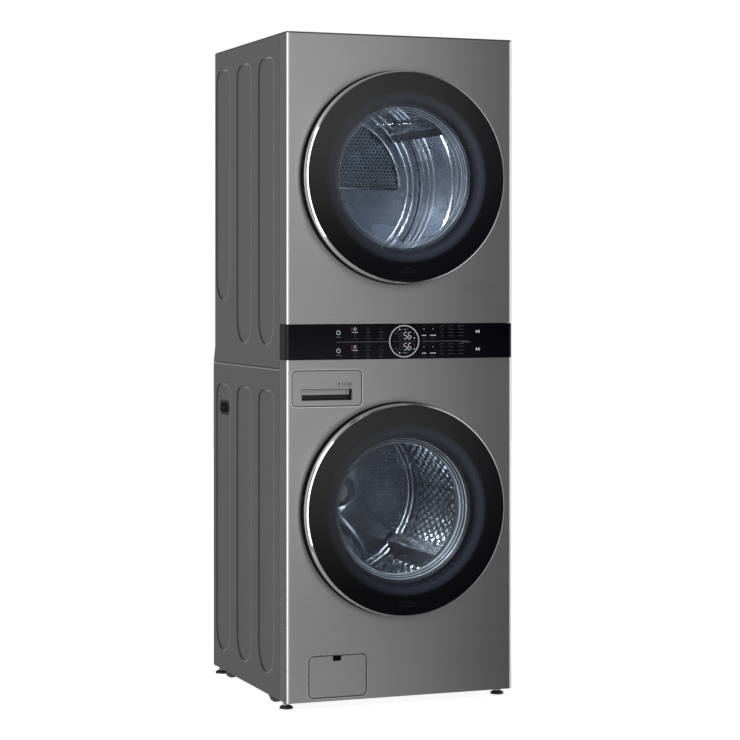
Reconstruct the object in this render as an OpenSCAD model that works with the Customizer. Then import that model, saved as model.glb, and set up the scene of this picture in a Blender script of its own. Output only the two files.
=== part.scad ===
// Washer dryer stack: one tall cabinet with a front-loading washer below and a dryer above,
// built as separate pieces that come apart on a bench.
// Frame: millimetres, +Z up, the doors face -Y. The origin is on the floor, under the middle
// of the whole object's box.

/* [Cabinet] */
// Overall width
body_w = 686; // [600:1:760]
// Overall height, floor to the top cover
body_h = 1889; // [1800:1:2000]
// Depth of the washer's cabinet, from the front face
washer_depth = 692; // [680:1:820]
// Depth of the dryer's cabinet, from the front face
dryer_depth = 676; // [664:1:800]
// How far the fittings at the back reach past the washer's cabinet
rear_reach = 33.5; // [30:0.5:45]
// Height of the cabinet's lower edge above the floor
foot_h = 24; // [22:1:32]
// Height of the joint between the washer's and the dryer's cabinets
seam_z = 949; // [930:1:960]
// Thickness of the cabinet's steel sheet
sheet = 1; // [0.8:0.1:1.5]
// How far the front panels wrap round the sides
wrap = 58; // [40:1:70]
// Radius of the front panels' upright edges
edge_r = 10; // [5:0.5:12]
// Visible gap between neighbouring panels
gap = 1; // [0.6:0.1:1.5]

/* [Control panel] */
// Lower edge of the control panel
control_z = 977; // [965:1:985]
// Height of the control panel
control_h = 98; // [80:1:110]
// Diameter of the display's ring
ring_d = 91; // [60:1:94]

/* [Doors] */
// Outer diameter of each door
door_d = 600; // [520:2:620]
// How far each door stands out from the front face
door_proud = 46; // [42:1:60]
// Height of the washer door's centre
washer_z = 553; // [540:1:575]
// Height of the dryer door's centre
dryer_z = 1488; // [1470:1:1500]
// Width of the chrome trim, seen from the front
trim_w = 5; // [4:0.5:12]
// Radius of the load opening behind each door
mouth_r = 215; // [205:1:225]

/* [Drums] */
// Outer radius of the washer's drum
washer_drum_r = 270; // [250:1:276]
// Outer radius of the washer's tub
tub_r = 300; // [296:1:306]
// Outer radius of the dryer's drum
dryer_drum_r = 285; // [260:1:295]
// Thickness of the drums' steel
drum_t = 1.2; // [0.8:0.1:2]
// Radius of the washer drum's shaft
shaft_r = 17; // [14:0.5:20]
// Lifters in each drum
lifters = 3; // [2:1:4]

/* [Drawer and flap] */
// Width of the detergent drawer's face
drawer_w = 204; // [180:1:215]
// Height of the detergent drawer's face
drawer_h = 97; // [85:1:100]
// Width of the pump flap
flap_w = 168; // [140:1:190]
// Height of the pump flap
flap_h = 113; // [100:1:125]

/* [Connections] */
// Outer radius of the exhaust duct
duct_r = 50.8; // [48:0.1:54]
// Radius over the thread of each water inlet
inlet_r = 13.5; // [12:0.1:15]
// Radius of the drain outlet
drain_r = 12; // [10:0.5:14]
// Radius of the hole for the power cord
cord_r = 14; // [10:0.5:16]

/* [Feet] */
// Radius of each foot's pad
pad_r = 19; // [15:0.5:24]
// Radius of each foot's stem
stem_r = 6; // [4:0.5:8]

/* [Hidden] */
$fn = 96;

overall_depth = door_proud + washer_depth + rear_reach;
y_face = door_proud - overall_depth / 2;    // the front face of the panels
y_rear = overall_depth / 2;                 // the end of the fittings at the back
half_w = body_w / 2;
door_r = door_d / 2;
control_top = control_z + control_h;
side_d = wrap + gap;                        // where the side panels begin
clear = 0.3;                                // between pieces of different bodies
fit = 0.05;                                 // running clearance, on the radius
touch = 0.1;                                // between pieces that meet
cut = 2;                                    // how far a cutting shape runs past a face
fine = 180;                                 // for the belt, which is drawn as a polygon

// The colours of the pieces
brushed = [0.55, 0.55, 0.55];
painted = [0.36, 0.36, 0.36];
black = [0.05, 0.05, 0.06];
chrome = [0.85, 0.85, 0.86];
zinc = [0.6, 0.6, 0.62];
grey_rubber = [0.45, 0.46, 0.48];
white_plastic = [0.8, 0.8, 0.78];
clear_glass = [0.4, 0.45, 0.5, 0.4];
concrete = [0.55, 0.54, 0.5];

// ---------------------------------------------------------------- helpers

// Depth behind the front face, as a Y value
function fy(d) = y_face + d;

// Rounded rectangle centred on the origin
module rrect(w, h, r) {
    square([w - 2 * r, h], center = true);
    square([w, h - 2 * r], center = true);
    for (sx = [-1, 1], sy = [-1, 1])
        translate([sx * (w / 2 - r), sy * (h / 2 - r)]) circle(r);
}

// A cylinder along Y, from depth d0 to depth d1
module ycyl(r, d0, d1, x = 0, z = 0) {
    translate([x, fy(d0), z]) rotate([-90, 0, 0]) cylinder(r = r, h = d1 - d0);
}

// A ring along Y
module yring(ro, ri, d0, d1, x = 0, z = 0) {
    difference() {
        ycyl(ro, d0, d1, x, z);
        ycyl(ri, d0 - cut, d1 + cut, x, z);
    }
}

// A box given by its ranges: x, depth and z
module span(x, d, z) {
    translate([x[0], fy(d[0]), z[0]])
        cube([x[1] - x[0], d[1] - d[0], z[1] - z[0]]);
}

// A flat outline in X and Z, given thickness from depth d0 to depth d1
module front_plate(d0, d1) {
    translate([0, fy(d1), 0]) rotate([90, 0, 0]) linear_extrude(d1 - d0) children();
}

// A profile of radius and depth, turned round an axis along Y at height z
module turned(z) {
    translate([0, y_face, z]) rotate([-90, 0, 0]) rotate_extrude() children();
}

// A shape drawn in front of its own axis, at both sides
module both_sides() {
    for (s = [0, 1]) mirror([s, 0, 0]) children();
}

// ---------------------------------------------------------------- front panels

// A plan from front to back, with its two front corners round
module round_plan(w, front, back, r) {
    translate([-w / 2 + r, front]) square([w - 2 * r, back - front]);
    translate([-w / 2, front + r]) square([w, back - front - r]);
    for (s = [-1, 1]) translate([s * (w / 2 - r), front + r]) circle(r);
}

// That plan set in from the cabinet's outside by e, and given height from z0 to z1
module round_block(e, back, z0, z1) {
    translate([0, y_face, z0]) linear_extrude(z1 - z0) round_plan(body_w - 2 * e, e, back, edge_r - e);
}

// The plan of a panel that is flat in front and wraps round both sides
module wrap_plan(t, deep) {
    difference() {
        round_plan(body_w, 0, deep, edge_r);
        round_plan(body_w - 2 * t, t, deep + cut, edge_r - t);
    }
}

module wrapped_panel(z0, z1, t = sheet, deep = wrap) {
    translate([0, y_face, z0]) linear_extrude(z1 - z0) wrap_plan(t, deep);
}

// Where the drawer and the flap sit in the washer's front panel
drawer_x = -half_w + 17 + drawer_w / 2;
drawer_z = control_z - 32 - drawer_h / 2;
corner_r = 12;
flap_x = -half_w + 67 + flap_w / 2;
flap_z = foot_h + 12 + flap_h / 2;
surround_r = door_r + 3;                    // the round cut-out in each front panel

module washer_front_panel() {
    color(brushed) difference() {
        wrapped_panel(foot_h, control_z - gap);
        ycyl(surround_r, -cut, sheet + cut, 0, washer_z);
        front_plate(-cut, sheet + cut)
            translate([drawer_x, drawer_z]) rrect(drawer_w + 2 * gap, drawer_h + 2 * gap, corner_r + gap);
        front_plate(-cut, sheet + cut)
            translate([flap_x, flap_z]) rrect(flap_w + 2 * gap, flap_h + 2 * gap, corner_r + gap);
    }
}

module dryer_front_panel() {
    color(brushed) difference() {
        wrapped_panel(control_top + gap, body_h - top_t - touch);
        ycyl(surround_r, -cut, sheet + cut, 0, dryer_z);
    }
}

// The dished ring behind each door, between the front panel and the load opening
dish_d = 9;                                 // how deep the dish lies behind the face
dish_t = 2.5;
dish_back = dish_d + dish_t;
hinge_x = -door_r + 12;                     // the doors' hinge axis
hinge_proud = 22;
arm_z = 39;                                 // the hinge's two arms, above and below the middle
arm_x = [5, 12];                            // an arm's width, from the axis
arm_h = 10;
pin_r = 3;
lock_x = door_r - 28;                       // the latch's middle
lock_half = 20;

module door_surround(z) {
    difference() {
        turned(z) polygon([
            [surround_r - clear, 0], [surround_r - clear, dish_back],
            [mouth_r, dish_back], [mouth_r, dish_d],
            [surround_r - dish_t - 4, dish_d], [surround_r - dish_t, 0]
        ]);
        // slots for the hinge's arms and the latch
        for (s = [-1, 1]) span([hinge_x + arm_x[0] - 1, hinge_x + arm_x[1] + 1],
            [dish_d - cut, dish_back + cut],
            [z + s * arm_z - arm_h / 2 - 1, z + s * arm_z + arm_h / 2 + 1]);
        span([lock_x - 8, lock_x + 12], [dish_d - cut, dish_back + cut], [z - lock_half, z + lock_half]);
    }
}

module door_surrounds() {
    color(black) for (z = [washer_z, dryer_z]) door_surround(z);
}

// ---------------------------------------------------------------- cabinets

rib_w = 141;                                // the upright recesses pressed in each side
rib_deep = 4;
rib_top_r = 40;
rib_pitch = 206;
rib_first = 112 + rib_w / 2;                // depth of the first recess's middle
washer_rib_z = [82, 886];
dryer_rib_z = [1014, 1830];
short_rib = 124;                            // how much shorter the dryer's last recess is

// Outline of one recess: round corners on top and a half circle below
module rib_outline(z0, z1, inset = 0) {
    w = rib_w - 2 * inset;
    r = rib_top_r - inset;
    translate([0, z0 + rib_w / 2]) circle(w / 2);
    translate([-w / 2, z0 + rib_w / 2]) square([w, z1 - z0 - rib_w / 2 - rib_top_r]);
    translate([-w / 2 + r, z1 - rib_top_r - touch]) square([w - 2 * r, r + touch]);
    for (s = [-1, 1]) translate([s * (w / 2 - r), z1 - rib_top_r]) circle(r);
}

// A flat outline in depth and Z, given thickness from x0 to x1
module side_plate(x0, x1) {
    translate([x0, y_face, 0]) rotate([90, 0, 90]) linear_extrude(x1 - x0) children();
}

// A left side panel with its recesses: [depth of the middle, bottom, top] each
module ribbed_side(ribs) {
    difference() {
        side_plate(-half_w, -half_w + sheet) children();
        for (r = ribs) side_plate(-half_w - cut, -half_w + sheet + cut)
            translate([r[0], 0]) rib_outline(r[1], r[2]);
    }
    for (r = ribs) difference() {
        side_plate(-half_w, -half_w + rib_deep) translate([r[0], 0]) rib_outline(r[1], r[2]);
        side_plate(-half_w - cut, -half_w + rib_deep - sheet)
            translate([r[0], 0]) rib_outline(r[1], r[2], sheet);
    }
}

grip_d = 586;                               // depth of the lifting grip's middle
grip_z = 816;
grip_w = 86;
grip_h = 36;
rear_lip = 18;                              // how far the sides turn in at the back

module washer_cabinet() {
    ribs = [for (i = [0:2]) [rib_first + i * rib_pitch, washer_rib_z[0], washer_rib_z[1]]];
    color(painted) both_sides() difference() {
        union() {
            ribbed_side(ribs)
                translate([side_d, foot_h]) square([washer_depth - side_d, seam_z - gap / 2 - foot_h]);
            // the lip that the rear panel screws to
            span([-half_w, -half_w + rear_lip],
                 [washer_depth - sheet, washer_depth], [foot_h, seam_z - gap / 2]);
        }
        side_plate(-half_w - cut, -half_w + rib_deep + cut)
            translate([grip_d, grip_z]) rrect(grip_w, grip_h, grip_h / 2 - touch);
        at_screws(washer_screws, -8) cylinder(r = screw_r + touch, h = 16);
    }
}

flare_z = seam_z + 48;                      // below this the dryer's sides widen to the washer's depth
top_t = 4;                                  // height of the top cover's folded edge

module dryer_cabinet() {
    top = body_h - top_t - touch;
    ribs = [for (i = [0:2]) [rib_first + i * rib_pitch, dryer_rib_z[0] + (i == 2 ? short_rib : 0),
                             dryer_rib_z[1]]];
    color(painted) both_sides() difference() {
        union() {
            ribbed_side(ribs) polygon([
                [side_d, seam_z + gap / 2], [washer_depth, seam_z + gap / 2],
                [dryer_depth, flare_z], [dryer_depth, top], [side_d, top]
            ]);
            span([-half_w, -half_w + rear_lip], [dryer_depth - sheet, dryer_depth], [flare_z, top]);
        }
        at_screws(dryer_screws, -8) cylinder(r = screw_r + touch, h = 16);
    }
}

module top_cover() {
    color(painted) difference() {
        round_block(gap / 2, dryer_depth, body_h - top_t, body_h);
        round_block(gap / 2 + sheet, dryer_depth - sheet, body_h - top_t - cut, body_h - sheet);
    }
}

// Lifting grips, set into the last recess of each washer side
module grip_cups() {
    x = -half_w + rib_deep - sheet - touch;
    color(black) both_sides() translate([0, 0, grip_z]) difference() {
        union() {
            side_plate(x - 1.5, x) translate([grip_d, 0]) rrect(grip_w + 8, grip_h + 8, grip_h / 2 + 3);
            side_plate(x - 1, x + 28) translate([grip_d, 0])
                rrect(grip_w - 1, grip_h - 1, grip_h / 2 - 0.6);
        }
        side_plate(x - cut, x + 26) translate([grip_d, 0]) rrect(grip_w - 5, grip_h - 5, grip_h / 2 - 2.6);
    }
}

// ---------------------------------------------------------------- base and feet

foot_x = half_w - 20.5;
foot_d = [63, washer_depth - 18];           // depth of the front and back feet
base_wall = 40;
base_t = 1.5;
base_in = sheet + 0.5;                      // between the cabinet's outside and the base
boss_r = 14;
boss_h = 26;
skid_d = [190, 590];                        // the spare pads under the base
skid_h = 12;
member_h = 14;                              // the cross members that carry the dampers
member_w = 48;

module at_feet() {
    for (s = [-1, 1], d = foot_d) translate([s * foot_x, fy(d), 0]) children();
}

module base_frame() {
    x = half_w - base_in;
    d0 = base_in;
    d1 = washer_depth - sheet - 1.5;
    color(zinc) difference() {
        union() {
            difference() {
                round_block(base_in, d1, foot_h, foot_h + base_wall);
                round_block(base_in + base_t, d1 - base_t, foot_h + base_t, foot_h + base_wall + cut);
            }
            at_feet() translate([0, 0, foot_h]) cylinder(r = boss_r, h = boss_h);
            for (d = damper_d) span([-x + 1, x - 1], [d - member_w / 2, d + member_w / 2],
                                    [foot_h + 1, foot_h + base_t + member_h]);
            for (s = [-1, 1], d = skid_d) translate([s * foot_x, fy(d), foot_h - skid_h])
                cylinder(r = 9, h = skid_h + 1);
        }
        at_feet() translate([0, 0, foot_h - cut]) cylinder(r = stem_r + fit, h = boss_h + 2 * cut);
        // room for the pump behind the flap
        span([flap_x - flap_w / 2 - 12, flap_x + flap_w / 2 + 12], [-cut, d0 + base_t + cut],
             [foot_h + 4, foot_h + base_wall + cut]);
    }
}

// One levelling foot: a threaded stem with a hexagon and a rubber-shod pad
module foot(s, d) {
    color(black) translate([s * foot_x, fy(d), 0]) {
        cylinder(r = pad_r, h = 5);
        translate([0, 0, 5]) cylinder(r1 = pad_r, r2 = pad_r - 6, h = 4);
        translate([0, 0, 9]) cylinder(r = 10, h = 5, $fn = 6);
        translate([0, 0, 10]) cylinder(r = stem_r, h = foot_h + boss_h - 10);
    }
}
module foot_front_left() { foot(-1, foot_d[0]); }
module foot_front_right() { foot(1, foot_d[0]); }
module foot_back_left() { foot(-1, foot_d[1]); }
module foot_back_right() { foot(1, foot_d[1]); }

// ---------------------------------------------------------------- rear

rear_in = sheet + touch;                    // the rear panels lie against the lips
valve_x = -205;
valve_z = seam_z - 75;
valve_pitch = 62;
cover_r = 150;                              // the round raised cover over the motor
cover_out = 10;
stub_d = washer_depth - 8;                  // where the hose stubs begin

module washer_rear_panel() {
    d = washer_depth - rear_in;
    x = half_w - sheet - touch;
    color(painted) difference() {
        union() {
            span([-x, x], [d - sheet, d], [foot_h + base_wall + 2, seam_z - gap]);
            ycyl(cover_r, d - sheet, d + cover_out, 0, washer_z);
        }
        ycyl(cover_r - sheet, d - sheet - cut, d + cover_out - sheet, 0, washer_z);
        for (i = [-3:3]) front_plate(d, d + 20) translate([0, washer_z + i * 22]) rrect(120, 8, 3.9);
        for (s = [-0.5, 0.5]) ycyl(inlet_r + 3, d - cut, d + cut, valve_x + s * valve_pitch, valve_z);
        ycyl(drain_r + 3, d - cut, d + cut, flap_x, flap_z);
        at_screws(washer_screws, -8) cylinder(r = screw_r + touch, h = 16);
    }
}

duct_z = seam_z + 88;
duct_x = 0;
terminal = [-245, seam_z + 183, 120, 84];   // the cord's cover: middle x and z, width and height
louvre_x = 130;

module dryer_rear_panel() {
    d = dryer_depth - rear_in;
    x = half_w - sheet - touch;
    color(painted) difference() {
        union() {
            span([-x, x], [d - sheet, d], [flare_z, body_h - top_t - touch]);
            // the sloping foot of the panel, out to the washer's depth
            side_plate(-x, x) polygon([
                [d - sheet, flare_z + 1], [d, flare_z + 1], [d, flare_z],
                [washer_depth - rear_in, seam_z + gap], [washer_depth - rear_in - sheet, seam_z + gap],
                [d - sheet, flare_z - 0.3]
            ]);
        }
        ycyl(duct_r + 3, d - 20, washer_depth + cut, duct_x, duct_z);
        front_plate(d - 12, d + cut) translate([terminal[0], terminal[1]])
            rrect(terminal[2] - 30, terminal[3] - 30, 6);
        // louvres over the heater
        for (i = [0:8], s = [-1, 1]) front_plate(d - 12, d + cut)
            translate([s * louvre_x, dryer_z + 60 + i * 26]) rrect(150, 8, 3.9);
        at_screws(dryer_screws, -8) cylinder(r = screw_r + touch, h = 16);
    }
}

bush_l = 8;                                 // length of the cord's bushing
module terminal_cover() {
    d = dryer_depth - rear_in + touch;
    out = 22;
    color(painted) translate([terminal[0], 0, terminal[1]]) difference() {
        union() {
            difference() {
                front_plate(d, d + out) rrect(terminal[2], terminal[3], 8);
                front_plate(d - cut, d + out - sheet)
                    rrect(terminal[2] - 2 * sheet, terminal[3] - 2 * sheet, 7);
            }
            ycyl(cord_r + 4, d + out - bush_l, d + out);
        }
        ycyl(cord_r, d + out - bush_l - cut, d + out + cut);
    }
}

// Screws through the rear panels' edges: [x, depth of the outer face, z]
screw_r = 2.1;
screw_x = half_w - 10;
washer_screws = [for (s = [-1, 1], i = [0:4])
    [s * screw_x, washer_depth, 110 + i * (seam_z - 160) / 4]];
dryer_screws = [for (s = [-1, 1], i = [0:4])
    [s * screw_x, dryer_depth, flare_z + 40 + i * (body_h - flare_z - 90) / 4]];

module at_screws(list, back) {
    for (p = list) translate([p[0], fy(p[1] + back), p[2]]) rotate([-90, 0, 0]) children();
}

module rear_screws() {
    color(zinc) at_screws(concat(washer_screws, dryer_screws), 0) {
        translate([0, 0, -7]) cylinder(r = screw_r, h = 8);
        translate([0, 0, touch]) cylinder(r = 4.2, h = 2.4);
    }
}

// ---------------------------------------------------------------- control panel

panel_t = 3;
ring_x = 8;
module control_panel() {
    color(black) {
        wrapped_panel(control_z, control_top, panel_t, wrap);
        // the raised ring round the display
        yring(ring_d / 2, ring_d / 2 - 2.2, -0.4, touch, ring_x, control_z + control_h / 2);
    }
}

module control_board() {
    color([0.1, 0.35, 0.2]) {
        span([-230, 250], [panel_t + 6, panel_t + 8], [control_z + 8, control_top - 8]);
        span([ring_x - 40, ring_x + 40], [panel_t + touch, panel_t + 7], [control_z + 12, control_top - 12]);
        for (x = [-150, 90, 160]) span([x, x + 30], [panel_t + 7, panel_t + 16],
                                       [control_z + 30, control_z + 60]);
    }
}

// ---------------------------------------------------------------- middle deck

deck_z = seam_z + 4;
deck_h = 12;
module separator_deck() {
    x = half_w - sheet - 0.5;
    d0 = side_d + 2;
    d1 = dryer_depth - 14;
    color(zinc) difference() {
        span([-x, x], [d0, d1], [deck_z, deck_z + deck_h]);
        span([-x + base_t, x - base_t], [d0 + base_t, d1 - base_t],
             [deck_z + base_t, deck_z + deck_h + cut]);
    }
}

// ---------------------------------------------------------------- doors

trim_back = 24;                             // how far in front of the face the chrome trim starts
trim_t = 2.5;
glass_t = 4;
glass_proud = door_proud - 2;
frame_front = glass_proud - glass_t - touch;
frame_back = 2.5;
frame_in = door_r - 38;                     // inside of the frame's solid ring
frame_floor = 4;
bowl_r = mouth_r - 11;                      // radius of the bowl where it enters the opening
hook = [3, 12, 26];                         // the latch hook: half width, half height, reach
finger_half = 60;

// A black body: a solid ring with a flat back inside it
module door_frame(z) {
    color(black) difference() {
        union() {
            turned(z) polygon([
                [door_r - trim_t - 0.2, -frame_front], [frame_in, -frame_front],
                [frame_in, -frame_back - frame_floor], [mouth_r - 3, -frame_back - frame_floor],
                [mouth_r - 3, -frame_back], [door_r - 10, -frame_back],
                [door_r - 1, -trim_back + touch], [door_r - trim_t - 0.2, -trim_back + touch]
            ]);
            difference() {
                span([lock_x - hook[0], lock_x + hook[0]], [-frame_back - 2, hook[2]],
                     [z - hook[1], z + hook[1]]);
                span([lock_x - hook[0] - cut, lock_x + hook[0] + cut], [17, 21], [z - hook[1] - cut, z + 4]);
            }
        }
        // pockets for the hinge's arms
        for (s = [-1, 1]) {
            zr = [z + s * arm_z - arm_h / 2 - 1, z + s * arm_z + arm_h / 2 + 1];
            span([-door_r - cut, hinge_x + arm_x[1] + 2], [-trim_back + touch, cut], zr);
            span([hinge_x - 5.7, hinge_x + arm_x[1] + 2], [-hinge_proud - 6.5, cut], zr);
        }
        translate([hinge_x, fy(-hinge_proud), z - arm_z]) cylinder(r = pin_r + fit, h = 2 * arm_z);
        // the finger grip under the right edge
        span([door_r - 22, door_r + cut], [-trim_back + 4, cut], [z - finger_half, z + finger_half]);
    }
}

// Chrome trim: a thin bevel round the glass that carries on down the side
module door_trim(z) {
    color(chrome) turned(z) polygon([
        [door_r, -trim_back], [door_r, -door_proud + 9],
        [door_r - 2, -door_proud + 4], [door_r - trim_w, -door_proud],
        [door_r - trim_w, -frame_front - touch], [door_r - trim_t, -frame_front - touch],
        [door_r - trim_t, -trim_back]
    ]);
}

module door_glass(z) {
    r = door_r - trim_w - 0.2;
    color(clear_glass) turned(z) polygon([
        [0, -glass_proud - 1], [0, -glass_proud + glass_t - 1],
        [r - 40, -glass_proud + glass_t], [r, -glass_proud + glass_t], [r, -glass_proud - 0.2]
    ]);
}

// The clear bowl reaches into the drum: its depth behind the face, and its radius at the tip
module door_bowl(z, deep, tip) {
    f = frame_back + frame_floor + touch;
    t = 4;
    color(clear_glass) turned(z) polygon([
        [frame_in - 4, -f], [bowl_r + 4, -f], [bowl_r, 0],
        [tip + 26, deep - 0.17 * deep], [tip + 8, deep - 3], [tip - 10, deep], [0, deep],
        [0, deep - t], [tip - 11, deep - t], [tip + 5, deep - t - 2.5],
        [tip + 22, deep - 0.17 * deep - 2], [bowl_r - t, -2], [bowl_r, -f - t], [frame_in - 4, -f - t]
    ]);
}

washer_bowl = [96, 120];
dryer_bowl = [44, 96];
module washer_door_frame() { door_frame(washer_z); }
module washer_door_trim() { door_trim(washer_z); }
module washer_door_glass() { door_glass(washer_z); }
module washer_door_bowl() { door_bowl(washer_z, washer_bowl[0], washer_bowl[1]); }
module dryer_door_frame() { door_frame(dryer_z); }
module dryer_door_trim() { door_trim(dryer_z); }
module dryer_door_glass() { door_glass(dryer_z); }
module dryer_door_bowl() { door_bowl(dryer_z, dryer_bowl[0], dryer_bowl[1]); }

// Two arms with an eye each, one pin through both, and the plate behind the dish
module hinge_brackets() {
    d = dish_back + touch;
    color(zinc) for (z = [washer_z, dryer_z]) {
        for (s = [-1, 1]) {
            zr = [z + s * arm_z - arm_h / 2, z + s * arm_z + arm_h / 2];
            span([hinge_x + arm_x[0], hinge_x + arm_x[1]], [-hinge_proud - 3, d + 1], zr);
            span([hinge_x, hinge_x + arm_x[1]], [-hinge_proud - 3, -hinge_proud + 3], zr);
            translate([hinge_x, fy(-hinge_proud), zr[0]]) cylinder(r = 5, h = arm_h);
        }
        translate([hinge_x, fy(-hinge_proud), z - arm_z]) cylinder(r = pin_r, h = 2 * arm_z);
        span([hinge_x + 3, hinge_x + 48], [d, d + 3], [z - 60, z + 60]);
    }
}

module door_locks() {
    color(black) for (z = [washer_z, dryer_z]) difference() {
        span([lock_x - 14, lock_x + 18], [dish_back + touch, 46], [z - 42, z + 42]);
        span([lock_x - 8, lock_x + 12], [-cut, 40], [z - lock_half, z + lock_half]);
    }
}

// ---------------------------------------------------------------- washer: water side

tray_wall = 2;
house_x = [drawer_x - drawer_w / 2 - 3, drawer_x + drawer_w / 2 + 3];
house_z = [drawer_z - drawer_h / 2 - 2, drawer_z + drawer_h / 2 + 2];
house_d = [sheet + touch, 292];

module dispenser_housing() {
    color(white_plastic) difference() {
        span(house_x, house_d, house_z);
        span([house_x[0] + tray_wall, house_x[1] - tray_wall], [house_d[0] - cut, house_d[1] - tray_wall],
             [house_z[0] + tray_wall, house_z[1] - tray_wall]);
        ycyl(16, house_d[1] - 10, house_d[1] + cut, drawer_x + 60, house_z[0] + 24);
    }
}

grip_x = [drawer_x - 75.5, drawer_x + 75.5];
pull_z = [drawer_z - 34.5, drawer_z - 17.5, drawer_z - 1.5];   // bottom, lower edge of the bar, top
front_t = 26;                               // depth of the drawer's front
drawer_l = 270;
module detergent_drawer() {
    tx = [drawer_x - drawer_w / 2 + 6, drawer_x + drawer_w / 2 - 6];
    tz = [drawer_z - drawer_h / 2 + 6, drawer_z + drawer_h / 2 - 14];
    color(brushed) difference() {
        union() {
            front_plate(0, front_t) translate([drawer_x, drawer_z]) rrect(drawer_w, drawer_h, corner_r);
            span(tx, [front_t - 1, drawer_l], tz);
        }
        // the grip: a pocket, with a bar that the fingers go up behind
        translate([drawer_x, 0, (pull_z[0] + pull_z[2]) / 2]) front_plate(-cut, 1.5)
            rrect(grip_x[1] - grip_x[0], pull_z[2] - pull_z[0], 3);
        difference() {
            span([grip_x[0] + 2, grip_x[1] - 2], [0, 20], [pull_z[0] + 1, pull_z[2] + 8]);
            span([grip_x[0], grip_x[1] - 18], [-cut, 5], [pull_z[1], pull_z[2] + 10]);
            span([grip_x[1] - 16.5, grip_x[1] - 9.5], [-cut, 5], [pull_z[1], pull_z[2] + 10]);
            span([grip_x[0], grip_x[1] + cut], [-cut, 5], [pull_z[2] - 1, pull_z[2] + 10]);
        }
        // the compartments
        for (c = [[tx[0] + tray_wall, drawer_x - 30], [drawer_x - 28, drawer_x + 34],
                  [drawer_x + 36, tx[1] - tray_wall]])
            span(c, [front_t + 1, drawer_l - tray_wall], [tz[0] + tray_wall, tz[1] + cut]);
    }
}

module inlet_valves() {
    color(white_plastic) {
        span([valve_x - 52, valve_x + 52], [612, 672], [valve_z - 24, valve_z + 24]);
        for (s = [-0.5, 0.5]) difference() {
            union() {
                ycyl(inlet_r, 670, washer_depth + 28, valve_x + s * valve_pitch, valve_z);
                ycyl(inlet_r + 2, 670, washer_depth - 4, valve_x + s * valve_pitch, valve_z);
            }
            ycyl(inlet_r - 4, 680, washer_depth + 28 + cut, valve_x + s * valve_pitch, valve_z);
        }
    }
}

bay_r = 36;                                 // the filter's housing
bay_d = [22, 118];
filter_r = bay_r - 2.5 - clear;
flap_axis = [5.5, 14];                      // the flap's hinge: depth, and height above its lower edge
flap_pin = 2;
flap_axis_z = flap_z - flap_h / 2 + flap_axis[1];

module filter_bay() {
    hx = flap_w / 2 + 2;
    color(white_plastic) {
        difference() {
            union() {
                span([flap_x - hx - 4, flap_x + hx + 4], [bay_d[0], bay_d[0] + 2],
                     [flap_axis_z - 4, flap_z + flap_h / 2 - 6]);
                ycyl(bay_r, bay_d[0], bay_d[1], flap_x, flap_z);
            }
            ycyl(bay_r - 2.5, bay_d[0] - cut, bay_d[1] - 3, flap_x, flap_z);
        }
        for (s = [-1, 1]) {
            span([flap_x + s * (hx + 2) - 2, flap_x + s * (hx + 2) + 2], [2, bay_d[0] + 1],
                 [flap_axis_z - 4, flap_axis_z + 4]);
            translate([flap_x + s * (hx - 7), fy(flap_axis[0]), flap_axis_z])
                rotate([0, 90, 0]) cylinder(r = flap_pin, h = 20, center = true);
        }
    }
}

module pump_flap() {
    color(brushed) difference() {
        union() {
            front_plate(0, 2.5) translate([flap_x, flap_z]) rrect(flap_w, flap_h, corner_r);
            for (s = [-1, 1]) translate([flap_x + s * (flap_w / 2 - 12), fy(flap_axis[0]), flap_axis_z])
                rotate([0, 90, 0]) cylinder(r = 3.8, h = 12, center = true);
        }
        for (s = [-1, 1]) translate([flap_x + s * (flap_w / 2 - 9), fy(flap_axis[0]), flap_axis_z])
            rotate([0, 90, 0]) cylinder(r = flap_pin + fit, h = 22, center = true);
        // the finger notch in the upper edge
        front_plate(-cut, 4) translate([flap_x - 2, flap_z + flap_h / 2]) rrect(25, 28, 5);
    }
}

module pump_filter() {
    color(black) {
        difference() {
            ycyl(filter_r, bay_d[0] - 6, bay_d[1] - 10, flap_x, flap_z);
            ycyl(filter_r - 3, bay_d[0] + 8, bay_d[1], flap_x, flap_z);
            for (a = [0:60:300], d = [40, 62, 84]) translate([flap_x, fy(bay_d[0] + d - 22 + 4), flap_z])
                rotate([0, a, 0]) translate([0, 0, filter_r - 6]) cylinder(r = 5, h = 12);
        }
        translate([flap_x, 0, flap_z]) front_plate(9, bay_d[0] - 5) rrect(52, 12, 5);
    }
}

pump_d = [bay_d[1] + touch, bay_d[1] + 84];
module drain_pump() {
    color(black) difference() {
        union() {
            ycyl(40, pump_d[0], pump_d[1], flap_x, flap_z);
            ycyl(drain_r - 0.8, pump_d[1] - 1, washer_depth, flap_x, flap_z);
            ycyl(drain_r, stub_d, washer_depth + 24, flap_x, flap_z);
            span([flap_x - 30, flap_x + 30], [pump_d[0] + 10, pump_d[1] - 10],
                 [foot_h + base_t + touch, flap_z - 20]);
        }
        ycyl(drain_r - 2.5, pump_d[1], washer_depth + 24 + cut, flap_x, flap_z);
    }
}

// ---------------------------------------------------------------- washer: hanging group

tub_t = 3;
tub_d = [70, 299, 564];                     // front, joint and back of the tub
collar_r = 211;
damper_x = 235;
damper_d = [270, 500];
damper_r = 17;
ear_z = washer_z - sqrt(tub_r * tub_r - damper_x * damper_x) - 16;
spring_x = 215;
spring_d = 420;
hang_z = washer_z + sqrt(tub_r * tub_r - spring_x * spring_x) + 34;

module damper_ears(d) {
    difference() {
        for (s = [-1, 1]) span([s * damper_x - 12, s * damper_x + 12], [d - 14, d + 14],
                               [ear_z, ear_z + 44]);
        ycyl(tub_r - tub_t / 2, d - 30, d + 30, 0, washer_z);
    }
}

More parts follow.
